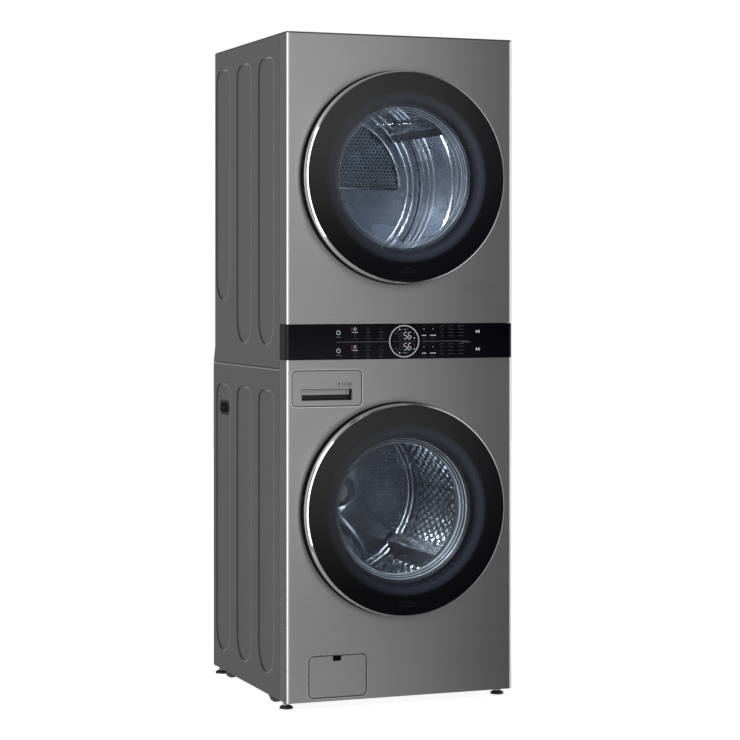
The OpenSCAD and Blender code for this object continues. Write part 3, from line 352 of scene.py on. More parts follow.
# the drawer: a steel face and grip bar, painted shade inside the grip, the bar painted darker towards its top
# as shade under the grip's upper edge, and a moulded tray behind
SKIN_DEPTH, BAR_DEPTH, TRAY_DEPTH = 0.0022, 0.0011, 0.0255
drawer = brushed("drawer_face")
depth = drawer.axis(1)
skin = drawer.math("LESS_THAN", depth, FACE + SKIN_DEPTH)
tray = drawer.math("GREATER_THAN", depth, FACE + TRAY_DEPTH)
bar = drawer.math("GREATER_THAN", depth, FACE + BAR_DEPTH)
face_tone = drawer.ramp(drawer.noise(1.0, BRUSH, 4, 0.62), [(LOW, 0.41), (HIGH, 0.47)])
bar_painted_shade = drawer.ramp(drawer.fit(drawer.axis(2), 0.877, 0.895), [(0.0, 0.46), (0.5, 0.40), (1.0, 0.26)])
pocket_shade_and_tray = drawer.mix(tray, (0.012, 0.012, 0.013), (0.42, 0.42, 0.41))
drawer.set("Base_Color", drawer.mix(skin, pocket_shade_and_tray, drawer.mix(bar, face_tone, bar_painted_shade)))
drawer.set("Metallic", skin)
dress(drawer, "detergent_drawer")

# the feet: a black pad under a steel stem
PAD_TOP = 0.0095
foot_mat = Mat("foot", Roughness=0.5)
stem = foot_mat.math("GREATER_THAN", foot_mat.axis(2), PAD_TOP)
foot_mat.set("Base_Color", foot_mat.mix(stem, (0.012, 0.012, 0.012), (0.4, 0.4, 0.41)))
foot_mat.set("Metallic", stem)
dress(foot_mat, "foot_front_left", "foot_front_right", "foot_back_left", "foot_back_right")

# ------------------------------------------------------------------ shapes for the fine pieces

ALONG_X, ALONG_Y, ALONG_Z = Vector((1, 0, 0)), Vector((0, 1, 0)), Vector((0, 0, 1))


def around(a):
    """Unit vectors outward and across at angle a about an axis along Y."""
    return Vector((math.cos(a), 0, math.sin(a))), Vector((-math.sin(a), 0, math.cos(a)))


class Kit:
    """Collects shapes in metres, then becomes one named piece that rides on a body."""

    def __init__(self):
        self.v, self.f = [], []

    def prism(self, pts, y0, y1):
        """An outline in X and Z, from y0 to y1."""
        n, b = len(pts), len(self.v)
        self.v += [(x, y0, z) for x, z in pts] + [(x, y1, z) for x, z in pts]
        self.f += [tuple(range(b, b + n)), tuple(range(b + 2 * n - 1, b + n - 1, -1))]
        self.f += [(b + i, b + n + i, b + n + (i + 1) % n, b + (i + 1) % n) for i in range(n)]

    def bar(self, x, z, w, h, y0, y1, lean=0.0):
        """A bar centred on x and z, leaning to the right by lean of its height."""
        s, u, t = lean * h / 2, w / 2, h / 2
        self.prism([(x - u - s, z - t), (x + u - s, z - t), (x + u + s, z + t), (x - u + s, z + t)], y0, y1)

    def frame(self, x0, x1, z0, z1, r, w, y0, y1, steps=8):
        """A rounded rectangle's outline, w wide, outside the given edges."""
        b = len(self.v)
        corners = ((x1 - r, z1 - r, 0), (x0 + r, z1 - r, 90), (x0 + r, z0 + r, 180), (x1 - r, z0 + r, 270))
        n = len(corners) * (steps + 1)
        for grow, y in ((0, y0), (w, y0), (w, y1), (0, y1)):
            for cx, cz, start in corners:
                for k in range(steps + 1):
                    t = math.radians(start + 90 * k / steps)
                    self.v.append((cx + (r + grow) * math.cos(t), y, cz + (r + grow) * math.sin(t)))
        for k in range(4):
            p, q = b + k * n, b + (k + 1) % 4 * n
            self.f += [(p + i, p + (i + 1) % n, q + (i + 1) % n, q + i) for i in range(n)]

    def arc(self, x, z, r0, r1, a0, a1, y0, y1, steps=24):
        """A flat band between two radii, from angle a0 to a1 in degrees."""
        b = len(self.v)
        for i in range(steps + 1):
            a = math.radians(a0 + (a1 - a0) * i / steps)
            for r in (r0, r1):
                for y in (y0, y1):
                    self.v.append((x + r * math.cos(a), y, z + r * math.sin(a)))
        for i in range(steps):
            p, q = b + 4 * i, b + 4 * i + 4
            self.f += [(p, q, q + 2, p + 2), (p + 1, p + 3, q + 3, q + 1),
                       (p, p + 1, q + 1, q), (p + 2, q + 2, q + 3, p + 3)]
        e = b + 4 * steps
        if abs(a1 - a0) < 359.9:
            self.f += [(b, b + 2, b + 3, b + 1), (e, e + 1, e + 3, e + 2)]

    def lathe(self, profile, centre, steps=144, a0=0.0, a1=360.0):
        """A closed profile of (radius, y) turned round an axis along Y."""
        b, n = len(self.v), len(profile)
        full = abs(a1 - a0) > 359.9
        count = steps if full else steps + 1
        for i in range(count):
            a = math.radians(a0 + (a1 - a0) * i / steps)
            self.v += [(centre.x + r * math.cos(a), y, centre.z + r * math.sin(a)) for r, y in profile]
        for i in range(steps):
            p, q = b + i * n, b + (i + 1) % count * n
            self.f += [(p + k, q + k, q + (k + 1) % n, p + (k + 1) % n) for k in range(n)]
        if not full:
            self.f += [tuple(b + k for k in range(n)), tuple(b + steps * n + k for k in reversed(range(n)))]

    def stud(self, base, top, sides, foot, tip, across, along):
        """A truncated pyramid: base and top are its middles, foot and tip its half widths."""
        b = len(self.v)
        for c, r in ((base, foot), (top, tip)):
            for i in range(sides):
                a = math.tau * (i + 0.5) / sides
                self.v.append(tuple(c + across * (r * math.cos(a)) + along * (r * math.sin(a))))
        self.f += [tuple(range(b + sides - 1, b - 1, -1)), tuple(range(b + sides, b + 2 * sides))]
        for i in range(sides):
            k = (i + 1) % sides
            self.f.append((b + i, b + k, b + sides + k, b + sides + i))

    def make(self, name, mat, body, slot, smooth=False):
        mesh = bpy.data.meshes.new(name)
        mesh.from_pydata(self.v, [], self.f)
        bm = bmesh.new()
        bm.from_mesh(mesh)
        bmesh.ops.recalc_face_normals(bm, faces=bm.faces)
        bm.to_mesh(mesh)
        bm.free()
        mesh.materials.append(mat.m)
        if smooth:
            mesh.polygons.foreach_set("use_smooth", [True] * len(mesh.polygons))
        o = bpy.data.objects.new(name, mesh)
        scene.collection.objects.link(o)
        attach(o, body)


# ------------------------------------------------------------------ the doors' glass

# The glass's colour by radius: a dark clear middle, a painted blue-grey glow standing in for light off the
# bowl's flange, then the black print.
GLASS_TONES = ((0.0, (0.004, 0.005, 0.007)), (0.38, (0.006, 0.008, 0.012)), (0.47, (0.022, 0.027, 0.040)),
               (0.60, (0.034, 0.040, 0.058)), (0.70, (0.020, 0.023, 0.034)), (0.77, (0.0014, 0.0011, 0.0026)))
GLASS_ALPHA = ((0.0, 0.14), (0.38, 0.17), (0.47, 0.50), (0.58, 0.88), (0.68, 0.97), (0.76, 1.0))
PAINTED_GLOW_GAIN = ((0.0, 0.40), (0.35, 0.62), (0.75, 1.30), (1.0, 1.5))
BOWL_ALPHA = ((0.0, 0.06), (0.55, 0.08), (0.80, 0.20), (1.0, 0.45))
MOUTH_R = 0.200  # the radius of a bowl's mouth
MOUTH_PROUD = 0.002  # how far the mouth stands in front of the face
BEADS = ((0.1985, 0.0013), (0.1925, 0.0008), (0.1865, 0.0010))  # radius and half thickness


def door_glass(door, centre, painted_glow):
    """Clear in the middle, a painted blue-grey glow towards the rim that stands in for light off the bowl's
    flange, then the black printed ring.
    """
    g = Mat(door + "_door_glass", Roughness=0.04, Specular_IOR_Level=0.36)
    r = g.fit(radius_from(g, centre), 0.15, 0.27)
    # painted light: the glow is brighter towards the lower right
    lean = g.math("SUBTRACT", g.math("MULTIPLY", g.axis(0), 2.2), g.math("SUBTRACT", g.axis(2), centre.z))
    gain = g.ramp(g.fit(lean, -0.55, 0.55), [(at, k * painted_glow) for at, k in PAINTED_GLOW_GAIN])
    g.set("Base_Color", g.times(g.ramp(r, GLASS_TONES), gain))
    g.set("Alpha", g.ramp(r, GLASS_ALPHA))
    dress(g, door + "_door_glass")


def door_bowl(door, centre):
    """Thin clear bowl, denser towards its mouth."""
    m = Mat(door + "_bowl_glass", Base_Color=(0.003, 0.0035, 0.005, 1), Roughness=0.40,
            Specular_IOR_Level=0.12)
    m.set("Alpha", m.ramp(m.fit(radius_from(m, centre), 0.15, 0.215), BOWL_ALPHA))
    dress(m, door + "_door_bowl")


def bowl_beads(door, centre, deep, tip):
    """Polished beads on the bowl's slope, which ends at the radius tip, deep behind the face."""
    beads = Kit()
    for r0, half in BEADS:
        y0 = FACE - MOUTH_PROUD + (MOUTH_R - r0) / (MOUTH_R - tip) * (deep + MOUTH_PROUD) - half * 0.8
        ring = [math.tau * k / 10 for k in range(10)]
        beads.lathe([(r0 + half * math.cos(t), y0 + half * math.sin(t)) for t in ring], centre, 180)
    m = Mat(door + "_bead_glass", Metallic=0.35, Base_Color=(0.50, 0.60, 0.72, 1))
    m.vary(30, 0.18, 0.30)
    beads.make(door + "_bowl_beads", m, door + "_door", "bowl_glass", smooth=True)


DOORS = (("washer", WASHER, 0.68, 0.0777, 0.142), ("dryer", DRYER, 0.95, 0.0345, 0.118))
for door, centre, painted_glow, deep, tip in DOORS:
    door_glass(door, centre, painted_glow)
    door_bowl(door, centre)
    bowl_beads(door, centre, deep, tip)

# ------------------------------------------------------------------ marks on the control panel
# Numbers on the two displays, plain icons, and short dashes in place of words.

PRINT = (FACE - 0.00022, FACE + 0.0002)  # the front and back of a mark on the panel
TICKS = (0.0013, 0.0019, 0.0010, 0.0023, 0.0016)
TICK_HEIGHTS = (1.0, 0.8, 1.0, 0.7)
TICK_GAP = 0.0006
SEGMENTS = {"5": "afgcd", "6": "afgecd", "8": "abcdefg"}
DIGIT_W, DIGIT_H, STROKE, SLANT = 0.0092, 0.0185, 0.0017, 0.12
FLAT_END, POINT = 0.0014, 0.0008  # of a level segment: the gap at its end, and the length of its point
TALL_GAP = 0.0009                 # of an upright segment: the gap and the length of its point


def dashes(kit, x, z, w, h, seed, y=PRINT):
    """A row of short upright ticks and bars, w long, centred on x."""
    at, k = x - w / 2, seed
    while at < x + w / 2 - 0.0004:
        step = TICKS[k % len(TICKS)]
        kit.bar(at + step / 2, z, step, h * TICK_HEIGHTS[k % len(TICK_HEIGHTS)], *y)
        at += step + TICK_GAP
        k += 1


def level_segment(kit, x, z):
    half, end = DIGIT_W / 2 - FLAT_END, DIGIT_W / 2 - FLAT_END - POINT
    t = STROKE / 2
    kit.prism([(x - half, z), (x - end, z - t), (x + end, z - t),
               (x + half, z), (x + end, z + t), (x - end, z + t)], *PRINT)


def upright_segment(kit, x, z):
    half = DIGIT_H / 4 - TALL_GAP
    end, t, s = half - TALL_GAP, STROKE / 2, SLANT * half
    kit.prism([(x - s, z - half), (x + t - s, z - end), (x + t + s, z + end),
               (x + s, z + half), (x - t + s, z + end), (x - t - s, z - end)], *PRINT)


def digit(kit, figure, x, z):
    """A seven-segment figure centred on x and z."""
    a, b = DIGIT_W / 2, DIGIT_H / 2
    level = {"a": b, "d": -b, "g": 0}
    upright = {"f": (-a, b / 2), "e": (-a, -b / 2), "b": (a, b / 2), "c": (a, -b / 2)}
    for seg in SEGMENTS[figure]:
        if seg in level:
            level_segment(kit, x + SLANT * level[seg], z + level[seg])
        else:
            dx, dz = upright[seg]
            upright_segment(kit, x + dx + SLANT * dz, z + dz)


P_LO, P_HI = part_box("control_panel")
mid_z = (P_LO.z + P_HI.z) / 2
display = Vector((0.0080, 0, mid_z))
lit, soft, dim, red = Kit(), Kit(), Kit(), Kit()


def display_row(z, up):
    """The figures of one machine, and the small marks above or below them."""
    for kit, figure, x in ((lit, "5", 0.0118), (lit, "6", 0.0245), (dim, "8", -0.0015)):
        digit(kit, figure, x, z)
    soft.bar(-0.0165, z + 0.006 * up, 0.0042, 0.0016, *PRINT)
    soft.bar(-0.0120, z + 0.012 * up, 0.0024, 0.0024, *PRINT)
    for kit, x, w in ((lit, -0.006, 0.0034), (soft, 0.002, 0.0022),
                      (lit, 0.0105, 0.0022), (soft, 0.0180, 0.0022)):
        kit.bar(x, z + 0.0175 * up, w, 0.0030, *PRINT)
    lit.bar(0.0385, z - 0.0070, 0.0034, 0.0028, *PRINT)
    dim.bar(0.0385, z + 0.0060, 0.0030, 0.0040, *PRINT)


def power_mark(x, top):
    lit.arc(x, top - 0.0090, 0.0047, 0.0060, 104, 436, *PRINT)
    lit.bar(x, top - 0.0029, 0.0010, 0.0030, *PRINT)
    dashes(soft, x, top - 0.0212, 0.0125, 0.0020, 1)


def settings_left(top):
    """Three columns of settings, the first one chosen."""
    red.bar(-0.1500, top - 0.0005, 0.0030, 0.0150, *PRINT)
    for c, x in enumerate((-0.1404, -0.1015, -0.0623)):
        kit = lit if c == 0 else dim
        if c == 2:
            kit.bar(x + 0.001, top + 0.001, 0.0012, 0.0095, *PRINT, lean=0.9)
        else:
            kit.arc(x, top + 0.001, 0.0030, 0.0041, 0, 360, *PRINT, steps=14)
        dashes(kit, x, top - 0.0085, 0.0140, 0.0022, c)
        dim.arc(x, top - 0.0180, 0.0030, 0.0040, 0, 360, *PRINT, steps=6)
        dashes(dim, x, top - 0.0265, 0.0150, 0.0022, c + 2)


def settings_right(top):
    """Two columns of settings in use, then three that are not."""
    for c, (x, w) in enumerate(((0.0683, 0.0115), (0.0959, 0.0180))):
        lit.bar(x, top - 0.0005, 0.0016, 0.0022, *PRINT)
        dim.bar(x, top + 0.0090, 0.0030, 0.0014, *PRINT)
        dashes(lit, x, top - 0.0185, w, 0.0027, c)
        dashes(dim, x, top - 0.0275, w * 0.7, 0.0016, c)
    shares = (1.0, 0.8, 0.9, 1.0)
    for c, (x, w) in enumerate(((0.1236, 0.010), (0.1513, 0.0165), (0.1823, 0.0190))):
        for i in range(4):
            dashes(dim, x, top + 0.008 - i * 0.0095, w * shares[(i + c) % 4], 0.0020, c + i)
        dim.bar(x - 0.006, top + 0.0035, 0.0040, 0.0010, *PRINT)


def start_mark(x, z):
    """A triangle and two bars."""
    lit.prism([(x - 0.0050, z - 0.0042), (x + 0.0016, z), (x - 0.0050, z + 0.0042)], *PRINT)
    for dx in (0.0030, 0.0056):
        lit.bar(x + dx, z, 0.0015, 0.0080, *PRINT)


display_row(mid_z + 0.0158, 1)
display_row(mid_z - 0.0152, -1)
red.arc(0.0385, mid_z - 0.0110, 0.0010, 0.0024, 0, 360, *PRINT)
for x, dz, w, h in ((display.x, 0, 0.070, 0.0005), (-0.119, -0.0008, 0.156, 0.0009),
                    (0.133, -0.0008, 0.142, 0.0009)):
    soft.bar(x, mid_z + dz, w, h, *PRINT)
dashes(soft, 0.196, mid_z - 0.004, 0.030, 0.0018, 2)
for top in (mid_z + 0.0345, mid_z - 0.0160):
    power_mark(-0.1896, top)
    settings_left(top)
    settings_right(top)
    start_mark(0.2336, top - 0.0085)

lit.make("panel_marks_lit", glow("mark_white", (0.92, 0.96, 1.0), 0.62), "cabinet", "black_panel")
soft.make("panel_marks_soft", glow("mark_soft", (0.8, 0.82, 0.9), 0.15), "cabinet", "black_panel")
dim.make("panel_marks_dim", glow("mark_dim", (0.8, 0.82, 0.95), 0.035), "cabinet", "black_panel")
red.make("panel_marks_red", glow("mark_red", (0.75, 0.02, 0.22), 0.17), "cabinet", "black_panel")

RING_IN, RING_OUT = 0.0427, 0.0457  # the display's raised ring
RING_TOP, RING_EDGE, RING_FOOT = FACE - 0.00062, FACE - 0.0004, FACE + 0.0002
halo = Kit()
halo.lathe([(RING_IN + 0.0007, RING_TOP), (RING_OUT - 0.0006, RING_TOP), (RING_OUT, RING_EDGE),
            (RING_OUT, RING_FOOT), (RING_IN, RING_FOOT), (RING_IN, RING_EDGE)], display, 96)
# The silver ring is given a faint glow: a painted sheen.
halo.make("display_ring", glow("ring_silver_painted_sheen", (0.75, 0.78, 0.8), 0.20, 0.4), "cabinet", "chrome_trim",
          smooth=True)

# ------------------------------------------------------------------ marks on the drawer and the doors

INK = (FACE - 0.0001, FACE + 0.0003)
GRIP_SHADOW_LINE = (FACE + 0.0011, FACE + 0.0016)  # fine dark lines of painted shadow round the bar inside the grip
TAGS = ((-0.188, 0.0042), (-0.177, 0.0020), (-0.170, 0.0030), (-0.161, 0.0032), (-0.154, 0.0046))
print_and_shadow = Kit()
for i, (x, w) in enumerate(TAGS):
    print_and_shadow.bar(x, 0.9085, w, 0.0085 if i % 2 else 0.0070, *INK)
    print_and_shadow.bar(x, 0.9020, w + 0.002, 0.0012, *INK)
# painted shadow lines along the top and the sides of the grip's bar; the rows above are print
print_and_shadow.bar(-0.224, 0.8943, 0.150, 0.0012, *GRIP_SHADOW_LINE)
for x in (-0.2989, -0.1491):
    print_and_shadow.bar(x, 0.8785, 0.0011, 0.031, *GRIP_SHADOW_LINE)
print_and_shadow.make("drawer_print_and_shadow", plastic("drawer_ink_and_shadow", 0.05, 0.5), "drawer", "black_plastic")

# three faint printed rows at the foot of each door's printed ring, given a faint painted glow
ROW_DROP, ROW_PITCH = 0.256, 0.0062
for door, centre in (("washer", WASHER), ("dryer", DRYER)):
    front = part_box(door + "_door_glass")[0].y
    rows = Kit()
    for i, w in enumerate((0.030, 0.052, 0.046)):
        dashes(rows, 0, centre.z - ROW_DROP - ROW_PITCH * i, w, 0.0022, i, (front + 0.00025, front + 0.0009))
    ink = glow(door + "_ink", (0.6, 0.62, 0.7), 0.008, 0.005)
    rows.make(door + "_door_marks", ink, door + "_door", "door_glass")

# ------------------------------------------------------------------ openings, and what is under the sides
# The rolled edges of the drawer's and the flap's openings: a dark joint and a lip of lighter steel, a painted
# highlight on the rolled edge.

JOINT_W, LIP_W, OPENING_R, ROLL_BACK = 0.0024, 0.0018, 0.012, 0.0008
joint, lip = Kit(), Kit()
for name, room in (("detergent_drawer", 0.0006), ("pump_flap", 0.0014)):  # the flap's lower edge swings out
    lo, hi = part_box(name)
    for kit, off, w, proud in ((joint, room, JOINT_W, 0.0004), (lip, room + JOINT_W, LIP_W, 0.0006)):
        kit.frame(lo.x - off, hi.x + off, lo.z - off, hi.z + off, OPENING_R + off, w,
                  FACE - proud, FACE + ROLL_BACK)
joint.make("opening_joints", plastic("joint_rubber", 0.03, 0.6), "cabinet", "black_plastic")
lip_painted_highlight = Mat("rolled_lip_painted_highlight", Metallic=1.0, Base_Color=grey(0.72))
lip_painted_highlight.vary(60, 0.22, 0.36)
lip.make("opening_lips", lip_painted_highlight, "cabinet", "brushed_front")

# The shipping pads and the folded base tabs, as outlines of (x, z) from a middle line and the cabinet's foot.
PAD = ((-0.012, 0.004), (-0.012, -0.014), (-0.008, -0.020), (0.008, -0.020), (0.012, -0.014), (0.012, 0.004))
TAB = ((-0.008, 0.003), (-0.007, -0.0070), (-0.004, -0.0085), (-0.002, 0.003))
EDGE_X = 0.322
pads, tabs = Kit(), Kit()
for x in (-EDGE_X, EDGE_X):
    for back, w in ((0.160, 0.028), (0.580, 0.030)):
        pads.prism([(x + dx, BASE_Z + dz) for dx, dz in PAD], FACE + back - w / 2, FACE + back + w / 2)
    for k in range(7):
        y = FACE + 0.19 + k * 0.052
        tabs.prism([(x + dx, BASE_Z + dz) for dx, dz in TAB], y - 0.006, y + 0.006)
pads.make("shipping_pads", plastic("pad_rubber", 0.05, 0.5), "cabinet", "black_plastic")
tabs.make("base_tabs", metal("tab_steel", 0.30, 0.4), "cabinet", "zinc_sheet")

# ------------------------------------------------------------------ the washer's drum
# Embossed diamonds and drain holes in the wall, and a pressed back with three arms.

SHEET = 0.0012
BITE = 0.0004  # how far a diamond or a hole's rim sinks into the wall
ROWS, ROUND = 17, 66
STUD_H, STUD_FOOT, STUD_TIP = 0.0050, 0.0102, 0.0026
HOLE_H, HOLE_FOOT, HOLE_TIP = 0.0007, 0.0028, 0.0024
LIFTER_CLEAR = 0.16  # half the angle that each lifter keeps free of diamonds

drum_lo, drum_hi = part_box("washer_drum")
drum_r = (drum_hi.x - drum_lo.x) / 2 - SHEET
front_y, back_y = drum_lo.y, drum_hi.y - SHEET
lifters = [math.radians(270 - 70 - 120 * i) for i in range(3)]
# The pressed diamonds and dimples share the wall's steel but are painted much lighter: painted glints.
painted_glint_steel = drum_steel("stud_steel_painted_glint", 0.74, 0.12)
studs, holes = Kit(), Kit()


def under_lifter(a, y):
    near = any(abs((a - mid + math.pi) % math.tau - math.pi) < LIFTER_CLEAR for mid in lifters)
    return near and front_y + 0.02 < y < back_y - 0.015


def wall_stud(kit, a, y, sides, height, foot, tip):
    """A stud that points inward from the drum's wall."""
    out, across = around(a)
    base = Vector((0, y, WASHER.z)) + out * (drum_r + BITE)
    kit.stud(base, base - out * height, sides, foot, tip, across, ALONG_Y)


for j in range(ROWS):
    y = front_y + 0.024 + j * (back_y - front_y - 0.048) / (ROWS - 1)
    for i in range(ROUND):
        place = i + 0.5 * (j % 2)
        a = math.tau * place / ROUND
        if under_lifter(a, y):
            continue
        wall_stud(studs, a, y, 4, STUD_H, STUD_FOOT, STUD_TIP)
        if (i + j) % 2 == 0:
            wall_stud(holes, math.tau * (place + 0.5) / ROUND, y, 6, HOLE_H, HOLE_FOOT, HOLE_TIP)
studs.make("drum_diamonds", painted_glint_steel, "washer_drum_unit", "drum_steel")
# The holes are black discs on the wall: painted shade for the dark behind them.
hole_shade = Mat("hole_painted_shade", Base_Color=grey(0.003), Roughness=0.9)
holes.make("drum_holes", hole_shade, "washer_drum_unit", "drum_steel")

ARMS = [math.radians(a) for a in (-49, 71, 191)]
ARM = ((0.052, 0.040), (0.11, 0.036), (0.17, 0.041), (0.215, 0.056), (0.228, 0.052))  # radius and half width
ARM_END, ARM_SLOPE, ARM_RISE, SINK = 0.222, 0.007, 0.0050, 0.0002


def star_arm(kit, angle):
    """A flat-topped ridge that widens towards the rim."""
    u, w = around(angle)
    b, n = len(kit.v), len(ARM)
    foot = [(r, half + ARM_SLOPE) for r, half in ARM]
    crest = [(min(r, ARM_END), half) for r, half in ARM]
    for level, rise in ((foot, -SINK), (crest, ARM_RISE)):
        for r, half in level:
            for s in (-1, 1):
                p = WASHER + u * r + w * (s * half)
                kit.v.append((p.x, back_y - rise, p.z))
    low = [(b + 2 * i, b + 2 * i + 1) for i in range(n)]
    top = [(p + 2 * n, q + 2 * n) for p, q in low]
    for (l0, l1), (m0, m1), (t0, t1), (v0, v1) in zip(low, low[1:], top, top[1:]):
        kit.f += [(t0, v0, v1, t1), (l0, l1, m1, m0), (l0, m0, v0, t0), (l1, t1, v1, m1)]
    kit.f += [(low[0][0], top[0][0], top[0][1], low[0][1]), (low[-1][0], low[-1][1], top[-1][1], top[-1][0])]


star = Kit()
for angle in ARMS:
    star_arm(star, angle)
hub = ((0.0, -0.0105), (0.030, -0.0105), (0.044, -0.0085), (0.054, -0.004), (0.058, SINK), (0.0, SINK))
star.lathe([(r, back_y + dy) for r, dy in hub], WASHER, 96)
star.make("drum_back_star", drum_steel("star_steel", 0.19, 0.20), "washer_drum_unit", "drum_steel")


def bead(r, y, half, shoulder, rise, crest, sink):
    """The profile of a pressed ring: its shoulders rise from y to rise, and its middle to crest."""
    return [(r - half, y + sink), (r - shoulder, y - rise), (r, y - crest),
            (r + shoulder, y - rise), (r + half, y + sink)]


rings = Kit()
for r in (0.2345, 0.2485):
    rings.lathe(bead(r, back_y, 0.0055, 0.0030, 0.0028, 0.0040, SINK), WASHER, 160)
rings.make("drum_back_rings", drum_steel("ring_steel", 0.24, 0.22), "washer_drum_unit", "drum_steel",
           smooth=True)

HEX = 0.866  # the height of a row in a hexagonal pattern, for a pitch of 1
DIMPLE_PITCH, DIMPLE_IN, DIMPLE_OUT, DIMPLE_CLEAR = 0.0132, 0.066, 0.224, 0.058
DIMPLE_RISE, DIMPLE_FOOT, DIMPLE_TIP = 0.0028, 0.0046, 0.0014


def on_arm(r, a):
    return any(abs(math.sin(a - k)) * r < DIMPLE_CLEAR and math.cos(a - k) > 0 for k in ARMS)


dots = Kit()
for i in range(-18, 19):
    for j in range(-20, 21):
        x, z = (i + 0.5 * (j % 2)) * DIMPLE_PITCH, j * DIMPLE_PITCH * HEX
        r = math.hypot(x, z)
        if DIMPLE_IN < r < DIMPLE_OUT and not on_arm(r, math.atan2(z, x)):
            p = Vector((x, back_y + SINK, WASHER.z + z))
            dots.stud(p, p - ALONG_Y * DIMPLE_RISE, 6, DIMPLE_FOOT, DIMPLE_TIP, ALONG_X, ALONG_Z)
dots.make("drum_back_dimples", painted_glint_steel, "washer_drum_unit", "drum_steel")

# ------------------------------------------------------------------ the dryer's air grille
# A fine hexagonal mesh over the upper half of the back wall, with pressed rings round it.

GRILLE_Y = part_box("dryer_drum")[1].y + 0.0034
GRILLE_R = 0.210
GRILLE_DROP = 0.004     # its middle is below the drum's axis
CELL = 0.0118
WIRE = (0.577, 0.315)   # a cell's outer and inner radius, for a pitch of 1


def hex_cell(kit, x, z):
    b = len(kit.v)
    for y in (GRILLE_Y - 0.0002, GRILLE_Y + 0.0014):
        for share in WIRE:
            r = CELL * share
            for k in range(6):
                a = math.radians(30 + 60 * k)
                kit.v.append((x + r * math.cos(a), y, DRYER.z + z + r * math.sin(a)))
    for k in range(6):
        m = (k + 1) % 6
        kit.f += [(b + k, b + m, b + 6 + m, b + 6 + k), (b + 12 + k, b + 18 + k, b + 18 + m, b + 12 + m),
                  (b + 6 + k, b + 6 + m, b + 18 + m, b + 18 + k)]


grille, shade_sheet = Kit(), Kit()
for i in range(-19, 20):
    for j in range(22):
        x, z = (i + 0.5 * (j % 2)) * CELL, 0.004 + j * CELL * HEX
        if math.hypot(x, z + 0.006) <= GRILLE_R - 0.006 and math.hypot(x, z) >= 0.004:
            hex_cell(grille, x, z)
# A black half disc behind the mesh: painted shade seen through its holes.
half_disc = [math.radians(a) for a in range(0, 181, 5)]
shade_sheet.prism([(GRILLE_R * math.cos(a), DRYER.z - GRILLE_DROP + GRILLE_R * math.sin(a)) for a in half_disc],
              GRILLE_Y + 0.0016, GRILLE_Y + 0.0022)
grille.make("dryer_grille", back_steel, "cabinet", "zinc_sheet")
shade_sheet.make("dryer_grille_shade", hole_shade, "cabinet", "black_plastic")

wall_rings = Kit()
wall_rings.lathe([(0.2085, GRILLE_Y + 0.002), (0.2105, GRILLE_Y - 0.0030), (0.2140, GRILLE_Y - 0.0045),
                  (0.2180, GRILLE_Y - 0.0030), (0.2200, GRILLE_Y + 0.002)],
                 Vector((0, 0, DRYER.z - GRILLE_DROP)), 90, 0, 180)
for r in (0.243, 0.262):
    wall_rings.lathe(bead(r, GRILLE_Y, 0.006, 0.003, 0.0025, 0.0035, 0.002), DRYER, 160)
wall_rings.bar(0, DRYER.z - 0.009, 0.416, 0.006, GRILLE_Y - 0.0035, GRILLE_Y + 0.002)
wall_rings.make("dryer_back_rings", drum_mat, "cabinet", "zinc_sheet", smooth=True)

# ------------------------------------------------------------------ the world
# White behind the object, a softer fill for diffuse light, and a dark studio in reflections.

SEEN, FILL, REFLECTED = 1.0, 0.36, 0.26

scene.view_settings.view_transform = "Standard"
world = bpy.data.worlds.new("studio")
scene.world = world
world.use_nodes = True
wt = world.node_tree
wt.nodes.clear()
path = wt.nodes.new("ShaderNodeLightPath")


def world_step(ray, before, value):
    """The value for one kind of ray, and what came before for the others."""
    n = wt.nodes.new("ShaderNodeMix")
    wt.links.new(path.outputs[ray], n.inputs[0])
    if is_link(before):
        wt.links.new(before, n.inputs[2])
    else:
        n.inputs[2].default_value = before
    n.inputs[3].default_value = value
    return n.outputs[0]


background = wt.nodes.new("ShaderNodeBackground")
background.inputs[0].default_value = grey(1.0)
unseen = world_step("Is Glossy Ray", FILL, REFLECTED)
wt.links.new(world_step("Is Camera Ray", unseen, SEEN), background.inputs[1])
world_out = wt.nodes.new("ShaderNodeOutputWorld")
wt.links.new(background.outputs[0], world_out.inputs[0])

# ------------------------------------------------------------------ lamps, cards and floor

NEUTRAL, COOL, RIM_COOL = (1, 1, 1), (0.86, 0.94, 1.0), (0.86, 0.93, 1.0)


def area(name, at, to, size, power, colour=NEUTRAL, glossy=True):
    d = bpy.data.lights.new(name, "AREA")
    d.shape = "RECTANGLE"
    d.size, d.size_y = size
    d.energy = power
    d.color = colour
    o = bpy.data.objects.new(name, d)
    o.location = at
    o.rotation_euler = (Vector(to) - Vector(at)).to_track_quat("-Z", "Y").to_euler()
    scene.collection.objects.link(o)
    o.visible_glossy = glossy


def card(name, ends, z, colour):
    """An upright studio card between two places on the floor plan, seen only in reflections."""
    (ax, ay), (bx, by) = ends
    mesh = bpy.data.meshes.new(name)
    mesh.from_pydata([(ax, ay, z[0]), (bx, by, z[0]), (bx, by, z[1]), (ax, ay, z[1])], [], [(0, 1, 2, 3)])
    o = bpy.data.objects.new(name, mesh)
    scene.collection.objects.link(o)
    m = Mat(name, Base_Color=grey(0.0), Specular_IOR_Level=0.0, Roughness=1.0, Emission_Strength=1.0)
    m.set("Emission_Color", colour(m) if callable(colour) else grey(colour))
    mesh.materials.append(m.m)
    o.visible_camera = o.visible_shadow = o.visible_diffuse = o.visible_transmission = False


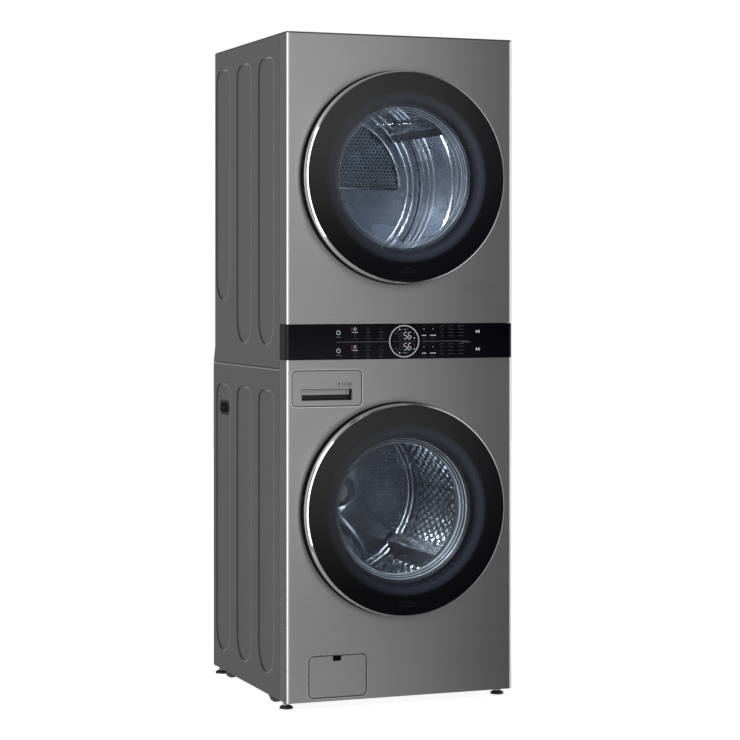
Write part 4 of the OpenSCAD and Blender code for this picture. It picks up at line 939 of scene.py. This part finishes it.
CARD_Y = FACE - 1.25
CARD_LEFT, CARD_RIGHT = -1.5, 1.45
CORNER = (2.7, -0.3)  # where the right strip meets the one behind it
ACROSS = ((0.0, 1.7), (0.27, 1.3), (0.42, 0.80), (0.60, 0.72), (0.70, 0.56), (0.78, 0.22), (0.83, 0.06),
          (0.88, 0.03), (1.0, 0.03))
POOL_Z, POOL_PITCH, POOL_DEPTH = 1.78, 1.14, 0.80


def front_glow(m):
    """Bright at the left and dark at the right, in soft pools at the height of each door's upper part."""
    across = m.ramp(m.fit(m.axis(0), CARD_LEFT, CARD_RIGHT), ACROSS)
    turn = m.math("MULTIPLY", m.math("SUBTRACT", m.axis(2), POOL_Z), math.tau / POOL_PITCH)
    pools = m.math("ADD", m.math("MULTIPLY", m.math("COSINE", turn), POOL_DEPTH), 1.0)
    low = m.fit(m.axis(2), 0.5, 1.20, 0.74, 1.08)
    high = m.fit(m.axis(2), 1.45, 1.75, 1.0, 0.93)
    gain = m.math("MULTIPLY", pools, m.math("MULTIPLY", low, high))
    return m.times(across, m.node("CombineXYZ", X=gain, Y=gain, Z=gain).outputs[0])


STRIP_Z = (-0.6, 3.2)
card("front_card", ((CARD_LEFT, CARD_Y), (CARD_RIGHT, CARD_Y)), (-1.8, 3.4), front_glow)
card("left_strip", ((-1.45, CARD_Y - 0.05), (-2.3, -0.25)), STRIP_Z, 3.0)
card("right_strip", ((CARD_RIGHT, CARD_Y), CORNER), STRIP_Z, 2.3)
card("right_rear", (CORNER, (2.3, 2.8)), STRIP_Z, 0.52)

SIDE = (-0.34, 0.0, 1.0)  # the middle of the left side
area("side_key", (-2.6, 3.0, 2.6), SIDE, (0.8, 1.6), 62, glossy=False)
area("side_fill", (-3.0, -2.5, 1.7), SIDE, (0.8, 1.6), 12)


def drum_lamps(z, high, low, rim):
    """The lamp at the top of a drum's mouth, a weak one low at the left, and one along the bowl's rim."""
    tag = "_%d" % round(z * 100)
    area("drum_lamp" + tag, (-0.10, FACE + 0.13, z + 0.185), (0.20, FACE + 0.42, z - 0.14),
         (0.07, 0.03), high, COOL)
    area("low_lamp" + tag, (-0.13, FACE + 0.125, z - 0.15), (0.22, FACE + 0.40, z + 0.16),
         (0.12, 0.05), low, COOL)
    area("rim_lamp" + tag, (0.02, FACE - 0.030, z + 0.150), (0.0, FACE - 0.01, z - 0.2),
         (0.24, 0.010), rim, RIM_COOL)


drum_lamps(WASHER.z, 13.0, 0.04, 0.8)
drum_lamps(DRYER.z, 2.2, 0.8, 1.1)

floor_mesh = bpy.data.meshes.new("floor")
floor_mesh.from_pydata([(-9, -9, 0), (9, -9, 0), (9, 9, 0), (-9, 9, 0)], [], [(0, 1, 2, 3)])
floor = bpy.data.objects.new("floor", floor_mesh)
scene.collection.objects.link(floor)
floor_mat = Mat("floor_paint", Base_Color=grey(0.85), Roughness=0.9, Specular_IOR_Level=0.0,
                Emission_Color=grey(1.0), Emission_Strength=0.85)
floor_mesh.materials.append(floor_mat.m)
floor.visible_glossy = False
